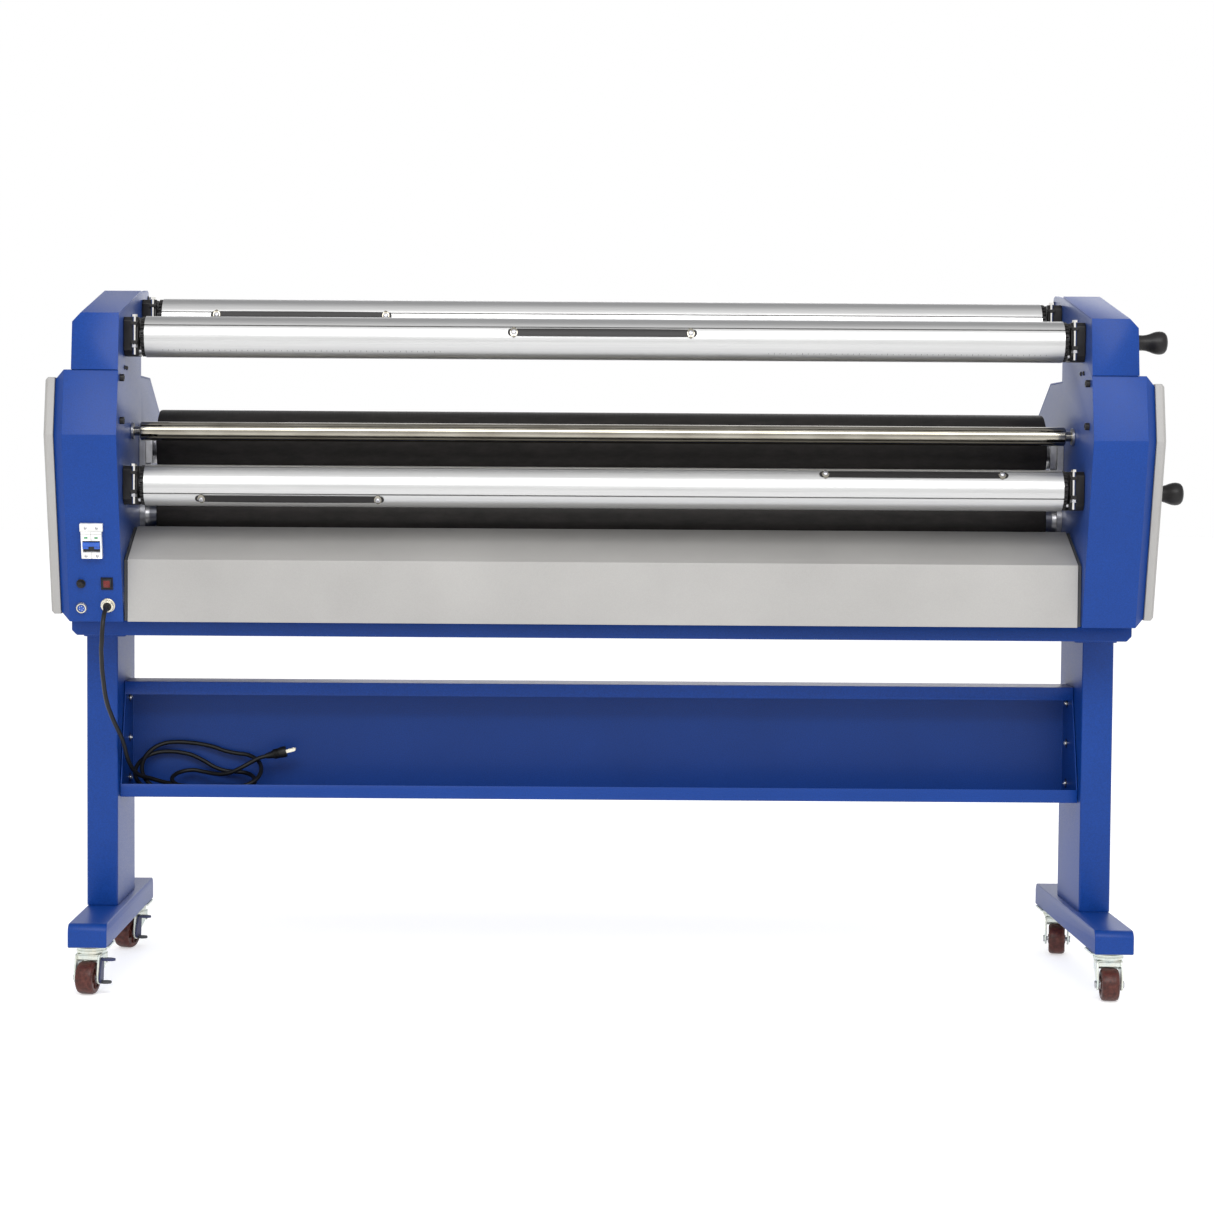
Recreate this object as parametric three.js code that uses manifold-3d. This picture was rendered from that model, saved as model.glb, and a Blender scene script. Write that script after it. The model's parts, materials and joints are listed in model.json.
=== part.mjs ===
// Wide-format cold roll laminator on a castered stand, in millimetres, +Z up.
// The service side, with the take-up tubes and the mains inlet, faces -Y.
// The operator side, with the feed table, faces +Y. X runs along the rollers.
import * as THREE from 'three';
import { mergeVertices } from 'three/addons/utils/BufferGeometryUtils.js';
import Module from 'manifold-3d';

const wasm = await Module();
wasm.setup();

// ---------------------------------------------------------------- driving sizes
const PLATE_INNER = 850;          // inner face of each side plate, from the middle
const PLATE_THICK = 8;
const GAP = 0.4;                  // air between pieces that touch
const SHEET = 3;                  // wall of the folded housings
const ROUND = 32;                 // sides of a full-size round piece
const SMALL_ROUND = 20;           // sides of a small round piece

const STAND = {
  footInner: 873, footOuter: 942, footRear: -215, footFront: 367,
  footBottom: 87, footTop: 129, footRound: 15,
  legInner: 886, legOuter: 943, legRear: 0, legFront: 211, legCorner: 4,
  flangeInner: 870, flangeOuter: 948, flangeOver: 10, flangeThick: 8,
};
const BEAM = { half: 951, rear: -113, front: 290, bottom: 635, top: 662, cut: 9 };
const TRAY = {
  half: 885, back: 165, lipTop: 75, lipBottom: 22, bottom: 328, top: 538, lip: 24, sheet: 2.5,
};

const HOUSING_OUTER = 962;        // flat outer face of the lower housing
const HOUSING_CHAMFER = 17;       // bevel all round that outer face
const SPLIT = 1106;               // the upper housing sits on the lower one here
const BASE = BEAM.top + GAP;
const HOUSING_RING = [            // lower housing seen from the side, as [Y, Z]
  [-168, BASE], [345, BASE], [345, 1020], [165, SPLIT], [-225, SPLIT], [-250, 992],
];
const UPPER_OUTER = 932;
const UPPER_CHAMFER = 15;
const UPPER_DROP = 16;            // how far the bevel comes down the outer face
const UPPER_RING = [[-228, SPLIT + GAP], [50, SPLIT + GAP], [50, 1262], [-215, 1206]];
const PANEL_OUTER = 979.5;
const PANEL_INSET = 13;

const TUBE_RADIUS = 36.5;
const TUBE_HALF = 812;
const JOURNAL_RADIUS = 11;
const TUBES = {                   // axes of the three film tubes, as [Y, Z]
  rear_upper: [-140, 1168],
  front_upper: [85, 1213],
  rear_lower: [-150, 905],
};
const ROLLER = { radius: 65, bore: 45, half: 815, y: 60, nip: 913, shaft: 20, rise: 0.5 };
const LOWER_AXIS = [ROLLER.y, ROLLER.nip - ROLLER.radius];
const UPPER_AXIS = [ROLLER.y, ROLLER.nip + ROLLER.rise + ROLLER.radius];
const GUIDE = { radius: 17, half: 833, y: -70, z: 1002, journal: 6 };
const TABLE = { half: 843, inner: 134, front: 358, top: 905, thick: 12 };
const COVER = { half: 843, sheet: 2, rear: -165, bend: 773, lipY: -45, lipZ: 830, front: 341 };

const MOTOR = { y: 150, z: 735, shaft: 9, boxHalf: 40, boxLength: 60, canRadius: 38, canEnd: 650 };
const CHAIN_PLANE = [881, 888];   // sprockets and chain, distance out from the middle

const WHEEL_RIM = 52;
const WHEEL_CLEAR = 4;            // air between a handwheel and the face behind it
const GRIP_OFFSET = 40;
const HANDWHEELS = {              // face it turns in front of, and its axis
  upper: { face: UPPER_OUTER, y: -20, z: 1172 },
  lower: { face: PANEL_OUTER, y: 40, z: 900 },
};
const GRIP_LENGTH = 64;
const GRIP_CLEAR = 20.4;          // where a grip starts, out from the face

// Places on the sloping service face of the left housing, as X and Z.
const BREAKER_AT = [-899, 808];
const ROCKER_AT = [-876, 731];
const GLAND_AT = [-876, 692];
const STOP_X = 905;               // emergency stops, from the middle

const CASTER = {
  x: 907, rear: -165, front: 317, radius: 29, halfWidth: 16, trail: 20,
  top: 82, race: 27, crown: 66, bridge: 5, cheekIn: 19.5, cheekOut: 23, axle: 4,
};
const CASTER_YAW = { rear_left: -11, front_left: -22, rear_right: -4, front_right: -11 };

const CORD_RADIUS = 4;
// Hangs from the gland, past the beam and the leg, over the end of the tray.
const CORD_ROUTE = [
  [-876, -199.1, 686.1], [-876, -203.5, 685], [-876, -213.4, 680.7], [-876.2, -221.9, 673.3],
  [-876.6, -227.7, 663.7], [-877.2, -230.2, 652.7], [-878, -229.2, 641.5], [-879, -224.8, 631.1],
  [-882, -212.5, 616.4], [-884, -195.5, 597.2], [-886, -177, 576], [-887, -157, 555], [-888, -136, 534],
  [-887, -115, 512], [-884, -94, 492], [-880.5, -73, 474], [-876.5, -52, 457],
  [-873.5, -31, 441], [-872, -11, 425], [-871.5, 8, 409], [-870, 26, 394],
  [-866, 43, 379], [-861.5, 52.6, 370.7],
];
const COIL = { left: -874, right: -628, bottom: 331.2, top: 424, rear: 56.5, front: 152 };
const PLUG = {
  at: [-624, 112, 396], tilt: 14, length: 39, pinGap: 12, pinEnd: 57, pinThick: 1.6, pinWide: 6.4,
};

// ---------------------------------------------------------------- materials
const paint = (color, roughness, metalness) => (
  new THREE.MeshStandardMaterial({ color, roughness, metalness })
);
const BLUE = paint(0x2f51a8, 0.45, 0.1);
const GREY = paint(0xc6c2ba, 0.5, 0.1);
const ALUMINIUM = paint(0xdcdde0, 0.35, 0.9);
const CHROME = paint(0xd8d4ca, 0.12, 1);
const STEEL = paint(0xa8aaad, 0.35, 0.9);
const RUBBER = paint(0x17130f, 0.6, 0);
const BLACK = paint(0x1b1a1a, 0.5, 0);
const CLEAR_BLUE = paint(0x1d3f96, 0.4, 0);
const ZINC = paint(0xbfcdc8, 0.4, 0.8);
const WHEEL = paint(0x53231d, 0.45, 0);
const WHITE = paint(0xe6e6e2, 0.4, 0);
const RED = paint(0xb8201c, 0.4, 0);
const DARK_BLUE = paint(0x2a3050, 0.4, 0);

// ---------------------------------------------------------------- shape helpers
function toSolid(geometry) {
  const bare = geometry.clone();
  bare.deleteAttribute('normal');
  bare.deleteAttribute('uv');
  const merged = mergeVertices(bare, 1e-4);
  return new wasm.Manifold(new wasm.Mesh({
    numProp: 3,
    vertProperties: Float32Array.from(merged.attributes.position.array),
    triVerts: Uint32Array.from(merged.index.array),
  }));
}

function fromSolid(solid) {
  const mesh = solid.getMesh();
  const geometry = new THREE.BufferGeometry();
  geometry.setAttribute('position', new THREE.BufferAttribute(mesh.vertProperties, 3));
  geometry.setIndex(new THREE.BufferAttribute(mesh.triVerts, 1));
  geometry.computeVertexNormals();
  return geometry;
}

function join(...geometries) {
  return fromSolid(geometries.map(toSolid).reduce((sum, solid) => sum.add(solid)));
}

function cut(geometry, ...tools) {
  const left = tools.map(toSolid).reduce((rest, tool) => rest.subtract(tool), toSolid(geometry));
  return fromSolid(left);
}

function shapeOf(points) {
  if (points instanceof THREE.Shape) return points;
  return new THREE.Shape(points.map(([a, b]) => new THREE.Vector2(a, b)));
}

function extrude(points, depth, curveSegments = 8) {
  return new THREE.ExtrudeGeometry(shapeOf(points), { depth, bevelEnabled: false, curveSegments });
}

// A [Y, Z] outline drawn out along X.
function prismX(points, x0, x1, curveSegments) {
  const turn = new THREE.Matrix4().set(0, 0, 1, x0, 1, 0, 0, 0, 0, 1, 0, 0, 0, 0, 0, 1);
  return extrude(points, x1 - x0, curveSegments).applyMatrix4(turn);
}

// An [X, Z] outline drawn out along Y.
function prismY(points, y0, y1) {
  return extrude(points, y1 - y0).rotateX(Math.PI / 2).translate(0, y1, 0);
}

// An [X, Y] outline drawn out along Z.
function prismZ(points, z0, z1) {
  return extrude(points, z1 - z0).translate(0, 0, z0);
}

function box(x0, x1, y0, y1, z0, z1) {
  const geometry = new THREE.BoxGeometry(x1 - x0, y1 - y0, z1 - z0);
  return geometry.translate((x0 + x1) / 2, (y0 + y1) / 2, (z0 + z1) / 2);
}

// A [radius, X] profile turned about the X axis, then moved to Y, Z.
function turned(profile, y = 0, z = 0, sides = ROUND) {
  const points = profile.map(([radius, x]) => new THREE.Vector2(radius, x));
  return new THREE.LatheGeometry(points, sides).rotateZ(-Math.PI / 2).translate(0, y, z);
}

function rod(radius, x0, x1, y = 0, z = 0, sides = SMALL_ROUND) {
  return turned([[0, x0], [radius, x0], [radius, x1], [0, x1]], y, z, sides);
}

function mirrored(geometry) {
  const flipped = (geometry.index ? geometry.toNonIndexed() : geometry.clone()).scale(-1, 1, 1);
  const position = flipped.attributes.position;
  const second = new THREE.Vector3();
  const third = new THREE.Vector3();
  for (let corner = 0; corner < position.count; corner += 3) {
    second.fromBufferAttribute(position, corner + 1);
    third.fromBufferAttribute(position, corner + 2);
    position.setXYZ(corner + 1, third.x, third.y, third.z);
    position.setXYZ(corner + 2, second.x, second.y, second.z);
  }
  flipped.computeVertexNormals();
  return flipped;
}

// Moves each side of a closed outline inwards by distance, and keeps its corners sharp.
function inset(ring, distance) {
  return ring.map((corner, index) => {
    const before = ring[(index + ring.length - 1) % ring.length];
    const after = ring[(index + 1) % ring.length];
    const [inA, inB] = [unit(before, corner), unit(corner, after)];
    const [normalA, normalB] = [[-inA[1], inA[0]], [-inB[1], inB[0]]];
    const scale = distance / (1 + normalA[0] * normalB[0] + normalA[1] * normalB[1]);
    return [
      corner[0] + scale * (normalA[0] + normalB[0]),
      corner[1] + scale * (normalA[1] + normalB[1]),
    ];
  });
}

function unit(from, to) {
  const length = Math.hypot(to[0] - from[0], to[1] - from[1]);
  return [(to[0] - from[0]) / length, (to[1] - from[1]) / length];
}

// A solid through [Y, Z] rings with the same number of corners, each at its own X.
function loft(sections) {
  const count = sections[0].ring.length;
  const positions = sections.flatMap(({ x, ring }) => ring.flatMap(([y, z]) => [x, y, z]));
  const outline = sections[0].ring.map(([y, z]) => new THREE.Vector2(y, z));
  const cap = THREE.ShapeUtils.triangulateShape(outline, []);
  const last = (sections.length - 1) * count;
  const index = [];
  cap.forEach(([a, b, c]) => index.push(a, c, b, last + a, last + b, last + c));
  for (let level = 0; level < last; level += count) {
    for (let corner = 0; corner < count; corner += 1) {
      const next = (corner + 1) % count;
      index.push(level + corner, level + next, level + count + next);
      index.push(level + corner, level + count + next, level + count + corner);
    }
  }
  const geometry = new THREE.BufferGeometry();
  geometry.setAttribute('position', new THREE.Float32BufferAttribute(positions, 3));
  geometry.setIndex(index);
  return geometry;
}

// ---------------------------------------------------------------- the scene graph
const laminator = new THREE.Group();

function add(name, geometry, material, parent = laminator) {
  const mesh = new THREE.Mesh(geometry, material);
  mesh.name = name;
  parent.add(mesh);
  return mesh;
}

// The same piece on both sides, drawn once for the +X side.
function addPair(name, geometry, material) {
  add(`right_${name}`, geometry, material);
  add(`left_${name}`, mirrored(geometry), material);
}

// A group whose Z looks out of a face, with its Y up the face; along is how the face runs up.
function faceGroup(x, y, z, along) {
  const up = new THREE.Vector3(0, along[0], along[1]).normalize();
  const right = new THREE.Vector3(1, 0, 0);
  const out = new THREE.Vector3().crossVectors(right, up);
  const group = new THREE.Group();
  group.quaternion.setFromRotationMatrix(new THREE.Matrix4().makeBasis(right, up, out));
  group.position.set(x, y, z);
  laminator.add(group);
  return group;
}

// ---------------------------------------------------------------- stand
function footOutline() {
  const { footRear, footFront, footBottom, footTop, footRound } = STAND;
  const shape = new THREE.Shape();
  shape.moveTo(footRear, footBottom);
  shape.lineTo(footFront, footBottom);
  shape.lineTo(footFront, footTop - footRound);
  shape.absarc(footFront - footRound, footTop - footRound, footRound, 0, Math.PI / 2);
  shape.absarc(footRear + footRound, footTop - footRound, footRound, Math.PI / 2, Math.PI);
  return shape;
}

function roundedRectangle(x0, x1, y0, y1, radius) {
  const shape = new THREE.Shape();
  shape.absarc(x1 - radius, y1 - radius, radius, 0, Math.PI / 2);
  shape.absarc(x0 + radius, y1 - radius, radius, Math.PI / 2, Math.PI);
  shape.absarc(x0 + radius, y0 + radius, radius, Math.PI, 1.5 * Math.PI);
  shape.absarc(x1 - radius, y0 + radius, radius, 1.5 * Math.PI, 2 * Math.PI);
  return shape;
}

function legGeometry() {
  const { legInner, legOuter, legRear, legFront, legCorner, footTop } = STAND;
  const { flangeInner, flangeOuter, flangeOver, flangeThick } = STAND;
  const top = BEAM.bottom - GAP;
  const post = roundedRectangle(legInner, legOuter, legRear, legFront, legCorner);
  const [rear, front] = [legRear - flangeOver, legFront + flangeOver];
  const flange = roundedRectangle(flangeInner, flangeOuter, rear, front, flangeOver);
  return join(prismZ(post, footTop + GAP, top - 1), prismZ(flange, top - flangeThick, top));
}

function buildStand() {
  addPair('foot', prismX(footOutline(), STAND.footInner, STAND.footOuter), BLUE);
  addPair('leg', legGeometry(), BLUE);
  const { half, bottom, top, cut: corner } = BEAM;
  const outline = [
    [-half + corner, bottom], [half - corner, bottom], [half, bottom + corner], [half, top],
    [-half, top], [-half, bottom + corner],
  ];
  add('base_beam', prismY(outline, BEAM.rear, BEAM.front), BLUE);
}

// A folded channel between the legs, open to the service side, with a sloping end plate each side.
function buildTray() {
  const { half, back, lipTop, lipBottom, bottom, top, lip, sheet } = TRAY;
  const channel = [
    [lipBottom, bottom], [back, bottom], [back, top], [lipTop, top], [lipTop, top - lip],
    [lipTop + sheet, top - lip], [lipTop + sheet, top - sheet], [back - sheet, top - sheet],
    [back - sheet, bottom + sheet], [lipBottom + sheet, bottom + sheet],
    [lipBottom + sheet, bottom + lip], [lipBottom, bottom + lip],
  ];
  const end = [
    [lipBottom, bottom], [back, bottom], [back, top], [lipTop, top],
    [lipTop, top - lip], [lipBottom, bottom + lip],
  ];
  const ends = [prismX(end, half - sheet, half), prismX(end, -half, -half + sheet)];
  add('stand_tray', join(prismX(channel, -half, half), ...ends), BLUE);
}

// ---------------------------------------------------------------- end housings
const PLATE_EDGE = SHEET + GAP;
const HORN = { y: 135, z: 1248, radius: 20, under: 1184 };

// Side plate: fills both housings, and its horn reaches forward to carry the front tube.
function plateRing() {
  const lower = inset(HOUSING_RING, PLATE_EDGE);
  const upper = inset(UPPER_RING, PLATE_EDGE);
  const [neckRear, neckFront] = [upper[0][0], upper[1][0]];
  const shoulder = lower[3][1];
  const horn = [-60, -20, 20, 60, 90].map((degrees) => {
    const angle = THREE.MathUtils.degToRad(degrees);
    return [HORN.y + HORN.radius * Math.cos(angle), HORN.z + HORN.radius * Math.sin(angle)];
  });
  return [
    lower[0], lower[1], lower[2], lower[3],
    [neckFront, shoulder], [neckFront, HORN.under], [HORN.y - HORN.radius, HORN.under], ...horn,
    [upper[2][0], upper[2][1]], upper[3], [neckRear, shoulder], lower[4], lower[5],
  ];
}

function circleHole(y, z, radius) {
  return new THREE.Path().absarc(y, z, radius, 0, 2 * Math.PI, true);
}

function plateGeometry(drive) {
  const shape = shapeOf(plateRing());
  shape.holes.push(circleHole(...LOWER_AXIS, ROLLER.shaft + GAP));
  if (drive) shape.holes.push(circleHole(MOTOR.y, MOTOR.z, MOTOR.shaft + GAP));
  return prismX(shape, PLATE_INNER, PLATE_INNER + PLATE_THICK, ROUND / 2);
}

function lowerHousingGeometry() {
  const edge = HOUSING_OUTER - HOUSING_CHAMFER;
  const outer = loft([
    { x: PLATE_INNER, ring: HOUSING_RING },
    { x: edge, ring: HOUSING_RING },
    { x: HOUSING_OUTER, ring: inset(HOUSING_RING, HOUSING_CHAMFER) },
  ]);
  const inner = inset(HOUSING_RING, SHEET);
  const hollow = loft([
    { x: PLATE_INNER - SHEET, ring: inner },
    { x: edge - 1, ring: inner },
    { x: HOUSING_OUTER - SHEET, ring: inset(HOUSING_RING, HOUSING_CHAMFER + 1) },
  ]);
  return cut(outer, hollow, plateRoom());
}

function upperHousingGeometry() {
  const bevelled = UPPER_RING.map(([y, z]) => [y, z > SPLIT + 1 ? z - UPPER_DROP : z]);
  const edge = UPPER_OUTER - UPPER_CHAMFER;
  const outer = loft([
    { x: PLATE_INNER, ring: UPPER_RING },
    { x: edge, ring: UPPER_RING },
    { x: UPPER_OUTER, ring: bevelled },
  ]);
  const hollow = loft([
    { x: PLATE_INNER - SHEET, ring: inset(UPPER_RING, SHEET) },
    { x: edge - 1, ring: inset(UPPER_RING, SHEET) },
    { x: UPPER_OUTER - SHEET, ring: inset(bevelled, SHEET) },
  ]);
  return cut(outer, hollow, plateRoom());
}

// The slot that the side plate and its horn need through the walls of both housings.
function plateRoom() {
  const room = inset(plateRing(), -GAP);
  return prismX(room, PLATE_INNER - SHEET, PLATE_INNER + PLATE_THICK + GAP);
}

function panelGeometry() {
  const ring = inset(HOUSING_RING, PANEL_INSET);
  return loft([
    { x: HOUSING_OUTER + GAP, ring },
    { x: PANEL_OUTER - 5, ring },
    { x: PANEL_OUTER, ring: inset(HOUSING_RING, PANEL_INSET + 5) },
  ]);
}

function buildHousings() {
  add('right_side_plate', plateGeometry(false), BLUE);
  add('left_side_plate', mirrored(plateGeometry(true)), BLUE);
  addPair('housing', lowerHousingGeometry(), BLUE);
  addPair('upper_housing', upperHousingGeometry(), BLUE);
  addPair('side_panel', panelGeometry(), GREY);
}

// ---------------------------------------------------------------- covers and table
// A bent sheet: its outside corners, and the same corners moved in by the sheet thickness.
function sheetRing(outside, thickness) {
  const shifted = outside.map(([y, z], index) => {
    const from = outside[Math.max(index - 1, 0)];
    const to = outside[Math.min(index + 1, outside.length - 1)];
    const [dy, dz] = unit(from, to);
    return [y + dz * thickness, z - dy * thickness];
  });
  return [...outside, ...shifted.reverse()];
}

function buildCovers() {
  const { half, sheet, rear, bend, lipY, lipZ, front } = COVER;
  const rearRing = sheetRing([[rear, BASE], [rear, bend], [lipY, lipZ]], sheet);
  add('rear_cover', prismX(rearRing, -half, half), GREY);
  const top = TABLE.top - TABLE.thick - 8;
  const frontRing = [
    [front, BASE], [front, top], [front - 40, top], [front - 40, top - sheet],
    [front - sheet, top - sheet], [front - sheet, BASE],
  ];
  add('front_cover', prismX(frontRing, -half, half), BLUE);
  const { inner, front: edge, top: tableTop, thick } = TABLE;
  const board = [
    [inner + 6, tableTop - thick], [edge, tableTop - thick], [edge, tableTop - 4],
    [edge - 4, tableTop], [inner, tableTop], [inner, tableTop - 4],
  ];
  add('feed_table', prismX(board, -TABLE.half, TABLE.half), GREY);
}

// ---------------------------------------------------------------- rollers and tubes
function coreGeometry([y, z], leftEnd, rightEnd) {
  const { bore, half, shaft } = ROLLER;
  return turned([
    [0, leftEnd], [shaft, leftEnd], [shaft, -half], [bore, -half],
    [bore, half], [shaft, half], [shaft, rightEnd], [0, rightEnd],
  ], y, z);
}

function rubberGeometry([y, z]) {
  const { radius, bore, half } = ROLLER;
  const inner = bore + GAP;
  return turned([
    [inner, -half], [radius - 2, -half], [radius, -half + 2], [radius, half - 2],
    [radius - 2, half], [inner, half], [inner, -half],
  ], y, z);
}

function buildRollers() {
  const insideEnd = PLATE_INNER - 2;
  add('upper_roller_core', coreGeometry(UPPER_AXIS, -insideEnd, insideEnd), STEEL);
  add('upper_roller_rubber', rubberGeometry(UPPER_AXIS), RUBBER);
  add('lower_roller_core', coreGeometry(LOWER_AXIS, -CHAIN_PLANE[1] - 4, PLATE_INNER + 20), STEEL);
  add('lower_roller_rubber', rubberGeometry(LOWER_AXIS), RUBBER);
  const { radius, half, y, z, journal } = GUIDE;
  const end = PLATE_INNER - GAP;
  add('guide_roller', turned([
    [0, -end], [journal, -end], [journal, -half], [radius, -half],
    [radius, half], [journal, half], [journal, end], [0, end],
  ], y, z), CHROME);
}

// The bearing block that carries one end of the upper roller.
function blockGeometry() {
  const [y, z] = UPPER_AXIS;
  const [halfY, halfZ, thick] = [30, 34, 24];
  const inner = PLATE_INNER - thick;
  const outer = box(inner, PLATE_INNER - GAP, y - halfY, y + halfY, z - halfZ, z + halfZ);
  return cut(outer, rod(ROLLER.shaft + GAP, inner - 1, PLATE_INNER + 1, y, z, ROUND));
}

const COLLAR_LENGTH = 7;

function tubeGeometry([y, z]) {
  const collar = TUBE_HALF + COLLAR_LENGTH;
  const end = PLATE_INNER - 4;
  const collarRadius = TUBE_RADIUS - 5;
  return turned([
    [0, -end], [JOURNAL_RADIUS, -end], [JOURNAL_RADIUS, -collar], [collarRadius, -collar],
    [collarRadius, -TUBE_HALF], [TUBE_RADIUS, -TUBE_HALF], [TUBE_RADIUS, TUBE_HALF],
    [collarRadius, TUBE_HALF], [collarRadius, collar], [JOURNAL_RADIUS, collar],
    [JOURNAL_RADIUS, end], [0, end],
  ], y, z);
}

// An open-topped yoke: the tube lifts straight out between its two prongs.
function saddleGeometry([y, z]) {
  const [half, below, above] = [27, 35, 34];
  const [cornerLow, cornerHigh] = [10, 7];
  const slot = JOURNAL_RADIUS + GAP;
  const shape = new THREE.Shape();
  shape.moveTo(y - slot, z + above);
  shape.lineTo(y - half + cornerHigh, z + above);
  shape.lineTo(y - half, z + above - cornerHigh);
  shape.lineTo(y - half, z - below + cornerLow);
  shape.lineTo(y - half + cornerLow, z - below);
  shape.lineTo(y + half - cornerLow, z - below);
  shape.lineTo(y + half, z - below + cornerLow);
  shape.lineTo(y + half, z + above - cornerHigh);
  shape.lineTo(y + half - cornerHigh, z + above);
  shape.lineTo(y + slot, z + above);
  shape.absarc(y, z, slot, 0, -Math.PI, true);
  const inner = TUBE_HALF + COLLAR_LENGTH + 4;
  return prismX(shape, inner, PLATE_INNER - GAP);
}

function buildTubes() {
  addPair('roller_block', blockGeometry(), STEEL);
  Object.entries(TUBES).forEach(([name, axis]) => {
    add(`${name}_tube`, tubeGeometry(axis), ALUMINIUM);
    addPair(`${name}_saddle`, saddleGeometry(axis), BLACK);
  });
}

// ---------------------------------------------------------------- drive
function sprocketGeometry([y, z], { teeth, root, tooth: height }, bore) {
  const step = (2 * Math.PI) / teeth;
  const toothCorners = [[0, 0], [0.2, height], [0.5, height], [0.7, 0]];
  const points = Array.from({ length: teeth }, (_, tooth) => (
    toothCorners.map(([part, rise]) => {
      const angle = (tooth + part) * step;
      return [y + (root + rise) * Math.cos(angle), z + (root + rise) * Math.sin(angle)];
    })
  ));
  const shape = shapeOf(points.flat());
  shape.holes.push(circleHole(y, z, bore));
  return prismX(shape, -CHAIN_PLANE[1], -CHAIN_PLANE[0], ROUND / 2);
}

// The belt line round two circles, as a closed outline.
function beltRing(large, small) {
  const [dy, dz] = [small.y - large.y, small.z - large.z];
  const distance = Math.hypot(dy, dz);
  const heading = Math.atan2(dz, dy);
  const spread = Math.acos((large.radius - small.radius) / distance);
  const arc = (circle, from, to) => {
    const steps = 14;
    return Array.from({ length: steps + 1 }, (_, step) => {
      const angle = from + ((to - from) * step) / steps;
      const { y, z, radius } = circle;
      return [y + radius * Math.cos(angle), z + radius * Math.sin(angle)];
    });
  };
  return [
    ...arc(small, heading - spread, heading + spread),
    ...arc(large, heading + spread, heading + 2 * Math.PI - spread),
  ];
}

const ROLLER_SPROCKET = { teeth: 20, root: 34, tooth: 4 };
const MOTOR_SPROCKET = { teeth: 12, root: 19, tooth: 4 };

function chainGeometry() {
  const clear = 0.6;
  const thick = 5;
  const tip = ({ root, tooth }) => root + tooth;
  const [rollerY, rollerZ] = LOWER_AXIS;
  const ring = (extra) => beltRing(
    { y: rollerY, z: rollerZ, radius: tip(ROLLER_SPROCKET) + extra },
    { y: MOTOR.y, z: MOTOR.z, radius: tip(MOTOR_SPROCKET) + extra },
  );
  const shape = shapeOf(ring(clear + thick));
  shape.holes.push(new THREE.Path(ring(clear).map(([a, b]) => new THREE.Vector2(a, b))));
  return prismX(shape, -CHAIN_PLANE[1], -CHAIN_PLANE[0]);
}

// A gearbox on the inside of the plate, the motor's can behind it, and the shaft through the plate.
function motorGeometry() {
  const { y, z, shaft, boxHalf, boxLength, canRadius, canEnd } = MOTOR;
  const face = -PLATE_INNER + GAP;
  const canStart = face + boxLength - 10;
  const edge = 6;
  return join(
    box(face, face + boxLength, y - boxHalf, y + boxHalf, z - boxHalf, z + boxHalf),
    turned([
      [0, canStart], [canRadius, canStart], [canRadius, -canEnd - edge],
      [canRadius - edge, -canEnd], [0, -canEnd],
    ], y, z),
    rod(shaft, -CHAIN_PLANE[1] - 4, face + 10, y, z),
  );
}

function buildDrive() {
  const rollerSprocket = sprocketGeometry(LOWER_AXIS, ROLLER_SPROCKET, ROLLER.shaft + GAP);
  const motorSprocket = sprocketGeometry([MOTOR.y, MOTOR.z], MOTOR_SPROCKET, MOTOR.shaft + GAP);
  add('drive_motor', motorGeometry(), STEEL);
  add('roller_sprocket', rollerSprocket, STEEL);
  add('motor_sprocket', motorSprocket, STEEL);
  add('drive_chain', chainGeometry(), STEEL);
}

// ---------------------------------------------------------------- handwheels
function handwheelGeometry({ face, y, z }) {
  const start = face + WHEEL_CLEAR;
  const profile = [
    [0, start], [14, start], [16, start + 3], [40, start + 5], [WHEEL_RIM - 6, start + 2],
    [WHEEL_RIM, start + 6], [WHEEL_RIM, start + 12], [WHEEL_RIM - 6, start + 16],
    [24, start + 12], [0, start + 14],
  ];
  return turned(profile, y, z);
}

function gripGeometry({ face, y, z }) {
  const start = face + GRIP_CLEAR;
  const profile = [
    [0, start], [13, start], [15.5, start + 4], [15.5, start + 20], [18, start + 32],
    [20.5, start + 42], [21, start + 50], [19, start + 58], [12, start + 63],
    [0, start + GRIP_LENGTH],
  ];
  return turned(profile, y - GRIP_OFFSET, z, SMALL_ROUND);
}

function buildHandwheels() {
  Object.entries(HANDWHEELS).forEach(([name, wheel]) => {
    add(`${name}_handwheel`, handwheelGeometry(wheel), BLACK);
    add(`${name}_grip`, gripGeometry(wheel), BLACK);
  });
}

// ---------------------------------------------------------------- mains side
const REAR_LOW = HOUSING_RING[0];
const REAR_HIGH = HOUSING_RING[5];
const REAR_RUN = [REAR_HIGH[0] - REAR_LOW[0], REAR_HIGH[1] - REAR_LOW[1]];

// A group on the sloping service face of the left housing, at a given X and Z.
function rearFace([x, z]) {
  const y = REAR_LOW[0] + (REAR_RUN[0] * (z - REAR_LOW[1])) / REAR_RUN[1];
  return faceGroup(x, y, z, REAR_RUN);
}

function buildBreaker() {
  const group = rearFace(BREAKER_AT);
  const head = box(-20, 20, 17, 31, GAP, 9);
  const body = box(-18, 18, -31, 18, GAP, 12);
  const window = box(-15.5, 15.5, -20, 1, 2.5, 13);
  add('breaker_body', cut(join(head, body), window), WHITE, group);
  const bar = box(-15, 15, -8, -1, 7, 16);
  const tabs = [-1, 1].map((side) => box(side * 10 - 5, side * 10 + 5, -13, -7, 7, 14));
  add('breaker_toggle', join(bar, ...tabs), CLEAR_BLUE, group);
}

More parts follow.
